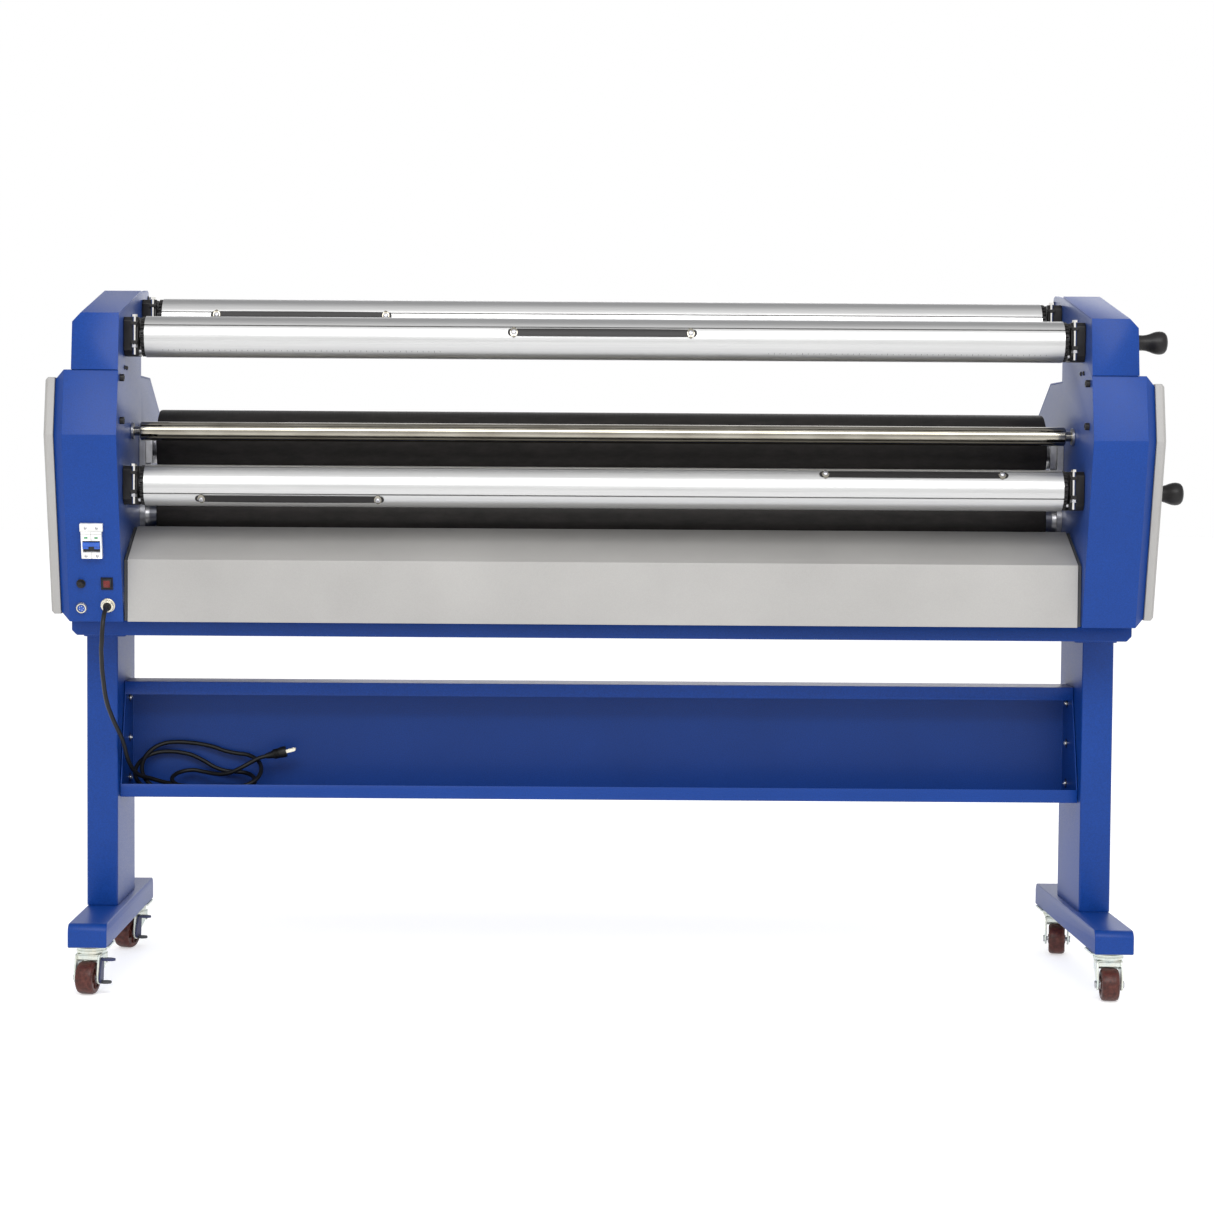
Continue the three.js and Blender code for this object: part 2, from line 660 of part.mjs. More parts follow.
function buildInlets() {
  const rocker = [[-9, 1.8], [9, 1.8], [9, 4], [0, 6.5], [-9, 4]];
  add('rocker_switch', prismX(rocker, -8.5, 8.5), BLACK, rearFace(ROCKER_AT));
  const gland = [[0, GAP], [13, GAP], [13, 5], [11, 6], [11, 13], [9, 17], [7, 24], [0, 24]];
  const geometry = turned(gland, 0, 0, SMALL_ROUND).rotateY(-Math.PI / 2);
  add('cable_gland', geometry, ZINC, rearFace(GLAND_AT));
}

// Mushroom stops on the sloping top of each housing, on the operator side.
function buildStops() {
  const [low, high] = [HOUSING_RING[2], HOUSING_RING[3]];
  const run = [low[0] - high[0], low[1] - high[1]];
  const profile = [[0, 6], [10, 6], [10, 16], [17, 18], [19, 22], [17, 27], [10, 30], [0, 31]];
  [['left', -STOP_X], ['right', STOP_X]].forEach(([side, x]) => {
    const group = faceGroup(x, high[0] + run[0] / 2, high[1] + run[1] / 2, run);
    const geometry = turned(profile, 0, 0, SMALL_ROUND).rotateY(-Math.PI / 2);
    add(`${side}_emergency_stop`, geometry, RED, group);
  });
}

// ---------------------------------------------------------------- casters
function forkGeometry() {
  const { trail, top, crown, bridge: thick, cheekIn, cheekOut, axle, radius, race } = CASTER;
  const swivelBottom = crown + thick - 1;
  const swivel = new THREE.CylinderGeometry(race, race, top - swivelBottom, SMALL_ROUND);
  swivel.rotateX(Math.PI / 2).translate(0, 0, (top + swivelBottom) / 2);
  const bridge = box(-cheekOut, cheekOut, -22, 20, crown, crown + thick);
  const cheek = new THREE.Shape();
  cheek.moveTo(20, crown + 5);
  cheek.lineTo(-22, crown + 5);
  cheek.lineTo(-trail - 12, radius + 4);
  cheek.absarc(-trail, radius, 11, Math.PI * 0.93, Math.PI * 1.75);
  cheek.lineTo(12, crown - 22);
  const cheeks = [[cheekIn, cheekOut], [-cheekOut, -cheekIn]].map((ends) => prismX(cheek, ...ends));
  const axleEnd = cheekOut + 3;
  return join(swivel, bridge, ...cheeks, rod(axle, -axleEnd, axleEnd, -trail, radius));
}

function casterWheelGeometry() {
  const { halfWidth, radius, axle, trail } = CASTER;
  const bore = axle + GAP;
  const face = [
    [bore, halfWidth], [radius - 9, halfWidth], [radius - 3, halfWidth - 1], [radius, halfWidth - 5],
  ];
  const backFace = face.map(([at, x]) => [at, -x]);
  return turned([...backFace, ...face.reverse(), [bore, -halfWidth]], -trail, radius, ROUND);
}

// A rocking brake lever outside the cheek, with a pad to press on and a pad to release.
function pedalGeometry() {
  const { cheekOut, trail, radius, axle } = CASTER;
  const start = cheekOut + GAP;
  const arm = new THREE.Shape();
  arm.moveTo(-8, 62);
  arm.lineTo(-14, 66);
  arm.lineTo(-20, 62);
  arm.absarc(-trail, radius, 10, Math.PI * 0.9, Math.PI * 1.9);
  const pad = (y, z, length) => {
    const oval = new THREE.CylinderGeometry(9, 9, 4, SMALL_ROUND).rotateX(Math.PI / 2);
    return oval.scale(length / 9, 1, 1).translate(start + length, y, z);
  };
  const hole = rod(axle + GAP, start - 1, start + 4, -trail, radius);
  return cut(join(prismX(arm, start, start + 3), pad(-14, 62, 13), pad(-18, 22, 10)), hole);
}

function buildCasters() {
  const { x, rear, front } = CASTER;
  Object.entries(CASTER_YAW).forEach(([name, yaw]) => {
    const left = name.endsWith('left');
    const group = new THREE.Group();
    group.position.set(left ? -x : x, name.startsWith('rear') ? rear : front, 0);
    group.rotation.z = THREE.MathUtils.degToRad(yaw);
    laminator.add(group);
    add(`${name}_caster_fork`, forkGeometry(), ZINC, group);
    add(`${name}_caster_wheel`, casterWheelGeometry(), WHEEL, group);
    if (left) add(`${name}_brake_pedal`, pedalGeometry(), DARK_BLUE, group);
  });
}

// ---------------------------------------------------------------- mains cord
function buildCord() {
  const route = new THREE.CatmullRomCurve3(CORD_ROUTE.map((point) => new THREE.Vector3(...point)));
  const section = new THREE.Shape().absarc(0, 0, CORD_RADIUS, 0, 2 * Math.PI);
  const cord = new THREE.ExtrudeGeometry(section, {
    steps: 32, curveSegments: 5, bevelEnabled: false, extrudePath: route,
  });
  add('power_cord', cord, BLACK);

  const { left, right, bottom, top, rear, front } = COIL;
  const radius = (top - bottom) / 2;
  const middle = (top + bottom) / 2;
  const outline = new THREE.Shape();
  outline.absarc(right - radius, middle, radius, -Math.PI / 2, Math.PI / 2);
  outline.absarc(left + radius, middle, radius, Math.PI / 2, 1.5 * Math.PI);
  add('cord_coil', prismY(outline, rear, front), BLACK);
}

// A moulded plug with two flat pins, tilted up out of the coil.
function buildPlug() {
  const { at, tilt, length, pinGap, pinEnd, pinThick, pinWide } = PLUG;
  const group = new THREE.Group();
  group.position.set(...at);
  group.rotation.y = -THREE.MathUtils.degToRad(tilt);
  laminator.add(group);
  const profile = [
    [0, 0], [6, 0], [8, 8], [10, 14], [11, 20], [11, length - 3], [9, length], [0, length],
  ];
  const [halfThick, halfWide] = [pinThick / 2, pinWide / 2];
  const pins = [-pinGap / 2, pinGap / 2].map((y) => (
    box(length - 1, pinEnd, y - halfThick, y + halfThick, -halfWide, halfWide)
  ));
  add('power_plug', join(turned(profile, 0, 0, SMALL_ROUND), ...pins), BLACK, group);
}

// ---------------------------------------------------------------- assembly
buildStand();
buildTray();
buildHousings();
buildCovers();
buildRollers();
buildTubes();
buildDrive();
buildHandwheels();
buildBreaker();
buildInlets();
buildStops();
buildCasters();
buildCord();
buildPlug();

// The laminator stands on the floor, under the middle of everything but the cord.
const CORD_NAMES = ['power_cord', 'cord_coil', 'power_plug'];
laminator.updateMatrixWorld(true);
const extent = new THREE.Box3();
laminator.traverse((object) => {
  if (object.isMesh && !CORD_NAMES.includes(object.name)) extent.expandByObject(object, true);
});
const middle = extent.getCenter(new THREE.Vector3());
laminator.position.set(-middle.x, -middle.y, -extent.min.z);

export default laminator;
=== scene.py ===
"""The looks of a wide-format cold roll laminator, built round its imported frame. Metres, +Z up.

The service side, with the film tubes and the mains inlet, faces -Y. X runs along the rollers.
Places given to at() and slab() are in the drawing's millimetres.
"""
import json
import math

import bmesh
import bpy
from mathutils import Matrix, Vector

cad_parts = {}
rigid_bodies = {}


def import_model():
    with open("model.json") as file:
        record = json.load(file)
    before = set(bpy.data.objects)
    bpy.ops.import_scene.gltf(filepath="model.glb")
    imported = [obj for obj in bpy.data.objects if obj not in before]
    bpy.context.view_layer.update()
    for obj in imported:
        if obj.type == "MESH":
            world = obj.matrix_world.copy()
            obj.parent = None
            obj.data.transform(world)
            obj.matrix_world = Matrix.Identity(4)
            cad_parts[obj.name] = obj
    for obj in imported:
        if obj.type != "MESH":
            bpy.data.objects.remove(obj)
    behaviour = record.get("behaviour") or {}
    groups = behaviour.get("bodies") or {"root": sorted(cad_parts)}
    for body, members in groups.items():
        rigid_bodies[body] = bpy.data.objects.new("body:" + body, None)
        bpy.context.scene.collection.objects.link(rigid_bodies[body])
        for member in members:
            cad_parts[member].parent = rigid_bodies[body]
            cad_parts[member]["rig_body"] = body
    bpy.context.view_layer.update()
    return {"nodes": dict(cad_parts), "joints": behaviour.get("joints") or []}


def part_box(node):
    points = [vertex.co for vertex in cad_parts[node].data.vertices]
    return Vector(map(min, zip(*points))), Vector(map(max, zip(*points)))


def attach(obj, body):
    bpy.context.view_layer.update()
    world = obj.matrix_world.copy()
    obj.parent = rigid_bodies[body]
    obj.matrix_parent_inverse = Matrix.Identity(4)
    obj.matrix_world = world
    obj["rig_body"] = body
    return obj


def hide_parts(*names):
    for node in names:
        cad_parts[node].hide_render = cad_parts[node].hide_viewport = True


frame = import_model()

SIDES = {"left": -1, "right": 1}
MM = 0.001

# ---------------------------------------------------------------- camera
CAMERA_PLACE = Vector((-0.1517, -5.0504, 0.9216))
CAMERA_YAW, CAMERA_PITCH, CAMERA_ROLL = -0.0024, 0.04729, 0.00635
CAMERA_LENS = 80.76
CAMERA_SHIFT = 0.06


def make_camera():
    forward = Vector((
        math.sin(CAMERA_YAW) * math.cos(CAMERA_PITCH),
        math.cos(CAMERA_YAW) * math.cos(CAMERA_PITCH),
        -math.sin(CAMERA_PITCH),
    ))
    level = Vector((math.cos(CAMERA_YAW), -math.sin(CAMERA_YAW), 0))
    upright = level.cross(forward)
    right = level * math.cos(CAMERA_ROLL) + upright * math.sin(CAMERA_ROLL)
    up = right.cross(forward)
    data = bpy.data.cameras.new("camera")
    data.lens = CAMERA_LENS
    data.sensor_width = 36
    data.shift_x = CAMERA_SHIFT
    camera = bpy.data.objects.new("camera", data)
    camera.matrix_world = Matrix((right, up, -forward)).transposed().to_4x4()
    camera.location = CAMERA_PLACE
    bpy.context.scene.collection.objects.link(camera)
    bpy.context.scene.camera = camera


make_camera()


# ---------------------------------------------------------------- places
def middle(node):
    low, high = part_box(node)
    return (low + high) / 2


ROLLER_Y = 60                     # the pressure rollers' axes in the drawing, mm
ORIGIN = Vector((
    (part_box("left_side_plate")[0].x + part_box("right_side_plate")[1].x) / 2,
    middle("lower_roller_rubber").y - ROLLER_Y * MM,
    0,
))


def at(x, y, z):
    """A point given in the drawing's millimetres, in the frame."""
    return ORIGIN + Vector((x, y, z)) * MM


# ---------------------------------------------------------------- node helpers
def new_material(name, **settings):
    material = bpy.data.materials.new(name)
    material.use_nodes = True
    tree = material.node_tree
    shader = tree.nodes["Principled BSDF"]
    for socket, value in settings.items():
        shader.inputs[socket.replace("_", " ")].default_value = value
    return material, tree, shader


def add_node(tree, kind, inputs=None, **settings):
    made = tree.nodes.new(kind)
    for name, value in settings.items():
        setattr(made, name, value)
    for name, value in (inputs or {}).items():
        if isinstance(value, bpy.types.NodeSocket):
            tree.links.new(value, made.inputs[name])
        else:
            made.inputs[name].default_value = value
    return made


def object_space(tree, stretch=(1, 1, 1)):
    place = add_node(tree, "ShaderNodeTexCoord").outputs["Object"]
    return add_node(tree, "ShaderNodeMapping", {"Vector": place, "Scale": stretch}).outputs[0]


def noise(tree, place, scale, detail=3, rough=0.5):
    made = add_node(
        tree, "ShaderNodeTexNoise",
        {"Vector": place, "Scale": scale, "Detail": detail, "Roughness": rough},
    )
    return made.outputs["Fac"]


def ramp(tree, factor, stops):
    """A colour ramp through (position, colour) stops."""
    made = add_node(tree, "ShaderNodeValToRGB", {"Fac": factor})
    band = made.color_ramp
    while len(band.elements) < len(stops):
        band.elements.new(0.5)
    for element, (position, colour) in zip(band.elements, stops):
        element.position = position
        element.color = (*colour, 1)
    return made.outputs["Color"]


def spread(tree, factor, low, high, start=0.3, end=0.7):
    """The factor's range from start to end, stretched to run from low to high."""
    made = add_node(
        tree, "ShaderNodeMapRange",
        {"Value": factor, "From Min": start, "From Max": end, "To Min": low, "To Max": high},
    )
    return made.outputs["Result"]


def mix_colour(tree, factor, first, second, how="MIX"):
    made = add_node(tree, "ShaderNodeMix", data_type="RGBA", blend_type=how)
    for index, value in ((0, factor), (6, first), (7, second)):
        if isinstance(value, bpy.types.NodeSocket):
            tree.links.new(value, made.inputs[index])
        else:
            made.inputs[index].default_value = value
    return made.outputs[2]


def times(tree, first, second):
    return add_node(tree, "ShaderNodeMath", {0: first, 1: second}, operation="MULTIPLY").outputs[0]


def add_share(tree, first, second, share):
    """The first value plus a share of the second."""
    return add_node(tree, "ShaderNodeMath", {0: first, 1: times(tree, second, share)}).outputs[0]


def connect(tree, shader, colour, rough, height, depth, strength=1.0):
    """Feeds a shader its colour and roughness, and a relief of the given depth in metres."""
    relief = add_node(
        tree, "ShaderNodeBump",
        {"Height": height, "Distance": depth, "Strength": strength},
    )
    tree.links.new(colour, shader.inputs["Base Color"])
    tree.links.new(rough, shader.inputs["Roughness"])
    tree.links.new(relief.outputs["Normal"], shader.inputs["Normal"])


def shade(colour, factor):
    return tuple(min(1.0, part * factor) for part in colour)


# ---------------------------------------------------------------- materials
def powder_coat(name, colour, grain, depth, roughness, contrast):
    """Powder coat: a fine pebbled skin, with faint cloudiness over the whole sheet."""
    material, tree, shader = new_material(name, Specular_IOR_Level=0.22)
    place = object_space(tree)
    pebbles = noise(tree, place, grain, 2, 0.6)
    clouds = noise(tree, place, 5, 4)
    base = ramp(tree, clouds, [(0.3, shade(colour, 0.94)), (0.7, shade(colour, 1.06))])
    low, high = 1 - contrast, 1 + contrast
    specks = ramp(tree, pebbles, [(0.35, (low, low, low)), (0.65, (high, high, high))])
    speckled = mix_colour(tree, 1.0, base, specks, "MULTIPLY")
    rough = spread(tree, pebbles, roughness - 0.06, roughness + 0.08)
    connect(tree, shader, speckled, rough, pebbles, depth)
    return material


def blue_paint():
    return powder_coat("blue_paint", (0.0028, 0.035, 0.200), 520, 0.00018, 0.36, 0.13)


# The blue paint made lighter and greyer for the side plates: painted light.
def plate_paint_with_painted_light():
    return powder_coat("plate_paint_with_painted_light", (0.022, 0.052, 0.20), 480, 0.00020, 0.33, 0.14)


def light_grey_paint():
    return powder_coat("light_grey_paint", (0.315, 0.308, 0.298), 700, 0.00008, 0.40, 0.03)


def aluminium_tube():
    """Satin anodised extrusion: fine die lines along X, and a few dull handling marks."""
    material, tree, shader = new_material("aluminium_tube", Metallic=0.92)
    lines = noise(tree, object_space(tree, (3, 900, 900)), 1.0, 3, 0.7)
    marks = noise(tree, object_space(tree, (1, 2, 2)), 9, 4, 0.6)
    base = ramp(tree, lines, [(0.3, (0.47, 0.47, 0.47)), (0.7, (0.55, 0.55, 0.545))])
    rough = add_share(tree, spread(tree, lines, 0.27, 0.34), marks, 0.08)
    connect(tree, shader, base, rough, lines, 0.000006, 0.25)
    return material


def chromed(name, dull, bright):
    """Polished hard chrome: faint turning rings, and a thin film that tints it."""
    material, tree, shader = new_material(name, Metallic=1.0)
    rings = noise(tree, object_space(tree, (700, 4, 4)), 1.0, 2, 0.6)
    film = noise(tree, object_space(tree, (1, 3, 3)), 14, 4)
    base = ramp(tree, film, [(0.3, dull), (0.7, bright)])
    rough = add_share(tree, spread(tree, rings, 0.05, 0.10), film, 0.04)
    connect(tree, shader, base, rough, rings, 0.00001, 0.5)
    return material


def chrome():
    return chromed("chrome", (0.74, 0.72, 0.68), (0.84, 0.83, 0.80))


# The chrome made much darker to stand for the shade that the guide roller sits in: painted shade. The grip
# clips take it too.
def chrome_with_painted_shade():
    return chromed("chrome_with_painted_shade", (0.25, 0.23, 0.19), (0.36, 0.34, 0.29))


def turned_steel(name, colour, roughness):
    """Turned or ground steel: rings round X, with stains in the dull parts."""
    material, tree, shader = new_material(name, Metallic=0.95)
    rings = noise(tree, object_space(tree, (1500, 12, 12)), 1.0, 2, 0.6)
    stains = noise(tree, object_space(tree), 60, 4, 0.6)
    base = ramp(tree, stains, [(0.35, shade(colour, 0.78)), (0.7, colour)])
    rough = add_share(tree, spread(tree, rings, roughness, roughness + 0.12), stains, 0.1)
    connect(tree, shader, base, rough, rings, 0.00003, 0.5)
    return material


def machined_steel():
    return turned_steel("machined_steel", (0.50, 0.50, 0.52), 0.25)


def nickel_brass():
    return turned_steel("nickel_brass", (0.78, 0.74, 0.62), 0.12)


def bright_fastener():
    return turned_steel("bright_fastener", (0.80, 0.80, 0.78), 0.15)


def roller_rubber():
    """Ground silicone rubber: dull black with fine grinding rings and a dusting of chalk."""
    material, tree, shader = new_material("roller_rubber", Specular_IOR_Level=0.2)
    rings = noise(tree, object_space(tree, (900, 25, 25)), 1.0, 2, 0.7)
    dust = noise(tree, object_space(tree, (1, 3, 3)), 24, 5, 0.65)
    base = ramp(tree, dust, [(0.35, (0.010, 0.009, 0.008)), (0.75, (0.022, 0.019, 0.018))])
    rough = add_share(tree, spread(tree, rings, 0.36, 0.46), dust, 0.15)
    connect(tree, shader, base, rough, rings, 0.00006, 0.6)
    return material


def moulded(name, colour, roughness, grain=1400, depth=0.00008, coat=0.0):
    """Moulded plastic: a spark-eroded grain and slightly uneven gloss."""
    material, tree, shader = new_material(
        name, Coat_Weight=coat, Coat_Roughness=0.1, Specular_IOR_Level=0.3,
    )
    place = object_space(tree)
    grains = noise(tree, place, grain, 2, 0.6)
    flow = noise(tree, place, 40, 3)
    base = ramp(tree, flow, [(0.3, shade(colour, 0.85)), (0.7, shade(colour, 1.15))])
    rough = add_share(tree, spread(tree, grains, roughness - 0.05, roughness + 0.06), flow, 0.08)
    connect(tree, shader, base, rough, grains, depth, 0.7)
    return material


def black_plastic():
    return moulded("black_plastic", (0.009, 0.008, 0.008), 0.36)


def cord_rubber():
    return moulded("cord_rubber", (0.005, 0.005, 0.005), 0.42, 900, 0.00005)


def white_plastic():
    return moulded("white_plastic", (0.74, 0.74, 0.72), 0.3, coat=0.2)


def toggle_plastic():
    return moulded("toggle_plastic", (0.02, 0.085, 0.40), 0.3, coat=0.2)


def red_plastic():
    return moulded("red_plastic", (0.52, 0.012, 0.012), 0.25, coat=0.4)


def dark_red_plastic():
    return moulded("dark_red_plastic", (0.12, 0.006, 0.006), 0.22, coat=0.4)


def yellow_plastic():
    return moulded("yellow_plastic", (0.72, 0.46, 0.01), 0.32, coat=0.2)


def green_plastic():
    return moulded("green_plastic", (0.01, 0.24, 0.07), 0.25, coat=0.4)


def pedal_plastic():
    return moulded("pedal_plastic", (0.028, 0.033, 0.085), 0.35)


def grey_rubber():
    return moulded("grey_rubber", (0.05, 0.052, 0.055), 0.55)


def zinc_plate():
    """Zinc-plated pressings: spangled, with a faint warm passivation in patches."""
    material, tree, shader = new_material("zinc_plate", Metallic=0.75)
    place = object_space(tree)
    cells = add_node(tree, "ShaderNodeTexVoronoi", {"Vector": place, "Scale": 330}).outputs["Color"]
    patches = noise(tree, place, 45, 4, 0.6)
    tint = ramp(tree, patches, [(0.35, (0.62, 0.70, 0.67)), (0.7, (0.80, 0.79, 0.68))])
    spangle = ramp(tree, cells, [(0.0, (0.86, 0.86, 0.86)), (1.0, (1.0, 1.0, 1.0))])
    spangled = mix_colour(tree, 1.0, tint, spangle, "MULTIPLY")
    connect(tree, shader, spangled, spread(tree, patches, 0.24, 0.42), patches, 0.0002, 0.3)
    return material


def caster_tread():
    """Red-brown nylon with flow marks, and scuffs that vary its gloss and relief."""
    material, tree, shader = new_material("caster_tread", Specular_IOR_Level=0.3)
    place = object_space(tree)
    flow = noise(tree, place, 130, 5, 0.7)
    scuffs = noise(tree, place, 420, 3, 0.7)
    base = ramp(tree, flow, [
        (0.3, (0.022, 0.006, 0.005)), (0.55, (0.070, 0.017, 0.012)), (0.8, (0.13, 0.040, 0.030)),
    ])
    connect(tree, shader, base, spread(tree, scuffs, 0.28, 0.52), scuffs, 0.0002, 0.5)
    return material


def floor_paint():
    """Matt white paint that glows a little, so that the floor is as white as the background."""
    material, tree, shader = new_material("floor_paint")
    clouds = noise(tree, object_space(tree), 1.5, 3)
    base = ramp(tree, clouds, [(0.3, (0.80, 0.80, 0.80)), (0.7, (0.83, 0.83, 0.83))])
    tree.links.new(base, shader.inputs["Base Color"])
    tree.links.new(spread(tree, clouds, 0.7, 0.8), shader.inputs["Roughness"])
    shader.inputs["Emission Color"].default_value = (1, 1, 1, 1)
    shader.inputs["Emission Strength"].default_value = 0.42
    return material


SLOT_FINISHES = {
    make.__name__: make() for make in (
        blue_paint, light_grey_paint, aluminium_tube, chrome, machined_steel, roller_rubber,
        black_plastic, cord_rubber, nickel_brass, white_plastic, toggle_plastic, red_plastic,
        zinc_plate, caster_tread, pedal_plastic,
    )
}
# Further finishes, each with the slot of the record that it is nearest to.
OTHER_FINISHES = {
    "plate_paint_with_painted_light": (plate_paint_with_painted_light(), "blue_paint"),
    "chrome_with_painted_shade": (chrome_with_painted_shade(), "chrome"),
    "bright_fastener": (bright_fastener(), "machined_steel"),
    "yellow_plastic": (yellow_plastic(), "white_plastic"),
    "dark_red_plastic": (dark_red_plastic(), "red_plastic"),
    "green_plastic": (green_plastic(), "toggle_plastic"),
    "grey_rubber": (grey_rubber(), "cord_rubber"),
}


def dress(obj, finish, body, replaces=()):
    """Gives a piece its material, the body it rides on and the CAD nodes that it stands for."""
    material, slot = OTHER_FINISHES.get(finish) or (SLOT_FINISHES[finish], finish)
    obj.data.materials.clear()
    obj.data.materials.append(material)
    if replaces:
        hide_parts(*replaces)
    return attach(obj, body)


# ---------------------------------------------------------------- mesh helpers
EDGE_ANGLE = math.radians(20)


def soften(obj, width, segments=3):
    """Rounds the sharp edges over by width, in metres."""
    rounding = obj.modifiers.new("rounded_edges", "BEVEL")
    rounding.width = width
    rounding.segments = segments
    rounding.limit_method = "ANGLE"
    rounding.angle_limit = EDGE_ANGLE
    rounding.harden_normals = True
    return obj


def make_piece(name, bm, finish, body, replaces=(), edge=0.0):
    """A finished piece out of a bmesh, which is used up; edge is the rounding of its edges."""
    bmesh.ops.recalc_face_normals(bm, faces=bm.faces)
    mesh = bpy.data.meshes.new(name)
    bm.to_mesh(mesh)
    bm.free()
    mesh.shade_smooth()
    if not edge:
        mesh.set_sharp_from_angle(angle=EDGE_ANGLE)
    obj = bpy.data.objects.new(name, mesh)
    bpy.context.scene.collection.objects.link(obj)
    if edge:
        soften(obj, edge)
    return dress(obj, finish, body, replaces)


def joined(*parts):
    """One bmesh out of several, which are used up."""
    whole = bmesh.new()
    for part in parts:
        scratch = bpy.data.meshes.new("scratch")
        part.to_mesh(scratch)
        part.free()
        whole.from_mesh(scratch)
        bpy.data.meshes.remove(scratch)
    return whole


def moved(bm, matrix):
    bm.transform(matrix)
    return bm


def placed(name, bm, place, finish, body="frame", replaces=(), edge=0.0):
    """A piece made at the origin, and then put in its place."""
    return make_piece(name, moved(bm, place), finish, body, replaces, edge)


def block(low, high):
    bm = bmesh.new()
    bmesh.ops.create_cube(bm, size=1)
    low, high = Vector(low), Vector(high)
    size = high - low
    bm.transform(Matrix.Translation((low + high) / 2) @ Matrix.Diagonal((*size, 1)))
    return bm


def lathe(profile, sides=48):
    """A (radius, height) profile turned about Z. It starts and ends on the axis, or closes on itself."""
    bm = bmesh.new()
    rings = []
    for radius, height in profile:
        if radius < 1e-7:
            rings.append([bm.verts.new((0, 0, height))])
            continue
        angles = [2 * math.pi * side / sides for side in range(sides)]
        rings.append([bm.verts.new((radius * math.cos(a), radius * math.sin(a), height)) for a in angles])
    if len(rings[0]) > 1:
        rings.append(rings[0])
    for lower, upper in zip(rings, rings[1:]):
        for side in range(sides):
            after = (side + 1) % sides
            corners = [lower[side % len(lower)], lower[after % len(lower)],
                       upper[after % len(upper)], upper[side % len(upper)]]
            distinct = list(dict.fromkeys(corners))
            if len(distinct) > 2:
                bm.faces.new(distinct)
    return bm


def cylinder(radius, low, high, sides=48):
    return lathe([(0, low), (radius, low), (radius, high), (0, high)], sides)


def sleeve(inner, outer, low, high, sides=48):
    return lathe([(inner, low), (outer, low), (outer, high), (inner, high)], sides)


ALONG_X = Matrix.Rotation(math.pi / 2, 4, "Y")                          # turns Z to X
ACROSS_X = Matrix(((0, 0, 1, 0), (1, 0, 0, 0), (0, 1, 0, 0), (0, 0, 0, 1)))     # X, Y, Z to Y, Z, X


def turned(profile, x, y, z, sides=64):
    """A (radius, distance) profile turned about the X direction through a point in the frame."""
    return moved(lathe(profile, sides), Matrix.Translation((x, y, z)) @ ALONG_X)


def prism(outline, low, high):
    """A flat (x, y) outline drawn out along Z from low to high."""
    bm = bmesh.new()
    bottom = [bm.verts.new((x, y, low)) for x, y in outline]
    top = [bm.verts.new((x, y, high)) for x, y in outline]
    bm.faces.new(bottom)
    bm.faces.new(top)
    count = len(outline)
    for corner in range(count):
        after = (corner + 1) % count
        bm.faces.new((bottom[corner], bottom[after], top[after], top[corner]))
    return bm


def arc(x, y, radius, start, end, steps):
    """Points on a circle, from start to end in degrees."""
    angles = [math.radians(start + (end - start) * step / steps) for step in range(steps + 1)]
    return [(x + radius * math.cos(a), y + radius * math.sin(a)) for a in angles]


def in_metres(points):
    return [(first * MM, second * MM) for first, second in points]


def regular(sides, radius, turn=0.0):
    return arc(0, 0, radius, turn, turn + 360 * (sides - 1) / sides, sides - 1)


def facing(place, normal, up=(0, 0, 1)):
    """A matrix whose Z looks along normal, with Y as near to up as it can be."""
    out = Vector(normal).normalized()
    right = Vector(up).cross(out).normalized()
    matrix = Matrix((right, out.cross(right), out)).transposed().to_4x4()
    matrix.translation = place
    return matrix


def refined(node, finish, edge=0.001, body=None):
    """A CAD node again, welded, with its flat faces merged and its edges rounded over."""
    source = frame["nodes"][node]
    bm = bmesh.new()
    bm.from_mesh(source.data)
    bmesh.ops.remove_doubles(bm, verts=bm.verts, dist=2e-5)
    flat = math.radians(0.5)
    bmesh.ops.dissolve_limit(bm, angle_limit=flat, verts=bm.verts, edges=bm.edges)
    return make_piece(f"{node}_skin", bm, finish, body or source["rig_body"], [node], edge)


# ---------------------------------------------------------------- mains cord
CORD_RADIUS = 0.004
TRAY_FLOOR = 330.5
FLOOR_LINE = TRAY_FLOOR + 4.3     # height of the cord's own line where it lies on the tray's floor

# The drawing's route in metres, from the gland past the beam and the leg into the tray.
HANGING_ROUTE = [
    (-0.876, -0.1991, 0.6861), (-0.876, -0.2035, 0.685), (-0.876, -0.2134, 0.6807),
    (-0.8762, -0.2219, 0.6733), (-0.8766, -0.2277, 0.6637), (-0.8772, -0.2302, 0.6527),
    (-0.878, -0.2292, 0.6415), (-0.879, -0.2248, 0.6311), (-0.882, -0.2125, 0.6164),
    (-0.884, -0.1955, 0.5972), (-0.886, -0.177, 0.576), (-0.887, -0.157, 0.555),
    (-0.888, -0.136, 0.534), (-0.887, -0.115, 0.512), (-0.884, -0.094, 0.492),
    (-0.8805, -0.073, 0.474), (-0.8765, -0.052, 0.457), (-0.8735, -0.031, 0.441),
    (-0.872, -0.011, 0.425), (-0.8715, 0.008, 0.409), (-0.870, 0.026, 0.394),
    (-0.866, 0.043, 0.379), (-0.8615, 0.0526, 0.3707),
]
# Down on to the tray's floor, inside the loops, in the drawing's millimetres.
LANDING = [
    (-854.5, 66, 362.8), (-846.5, 78.5, 358.8), (-835.5, 92, 354), (-820, 105, 347.5), (-802, 118, 342),
    (-780, 130, 337), (-755, 139.5, FLOOR_LINE), (-727, 146, FLOOR_LINE), (-700, 148, FLOOR_LINE),
]
# The strand that leads out of the loops to the plug.
LAST_STRAND = [
    (-748, 137.3, 363.6), (-730, 131, 361), (-711, 121.5, 360.2), (-691, 113.5, 364.5),
    (-671, 109.5, 374), (-655, 111, 383), (-643, 111.8, 389.5), (-633.5, 112, 393.6),
    (-624.2, 112, 395.9),
]
RIGHT_END, LEFT_END = -633, -869.5
ARC_STEPS = 12


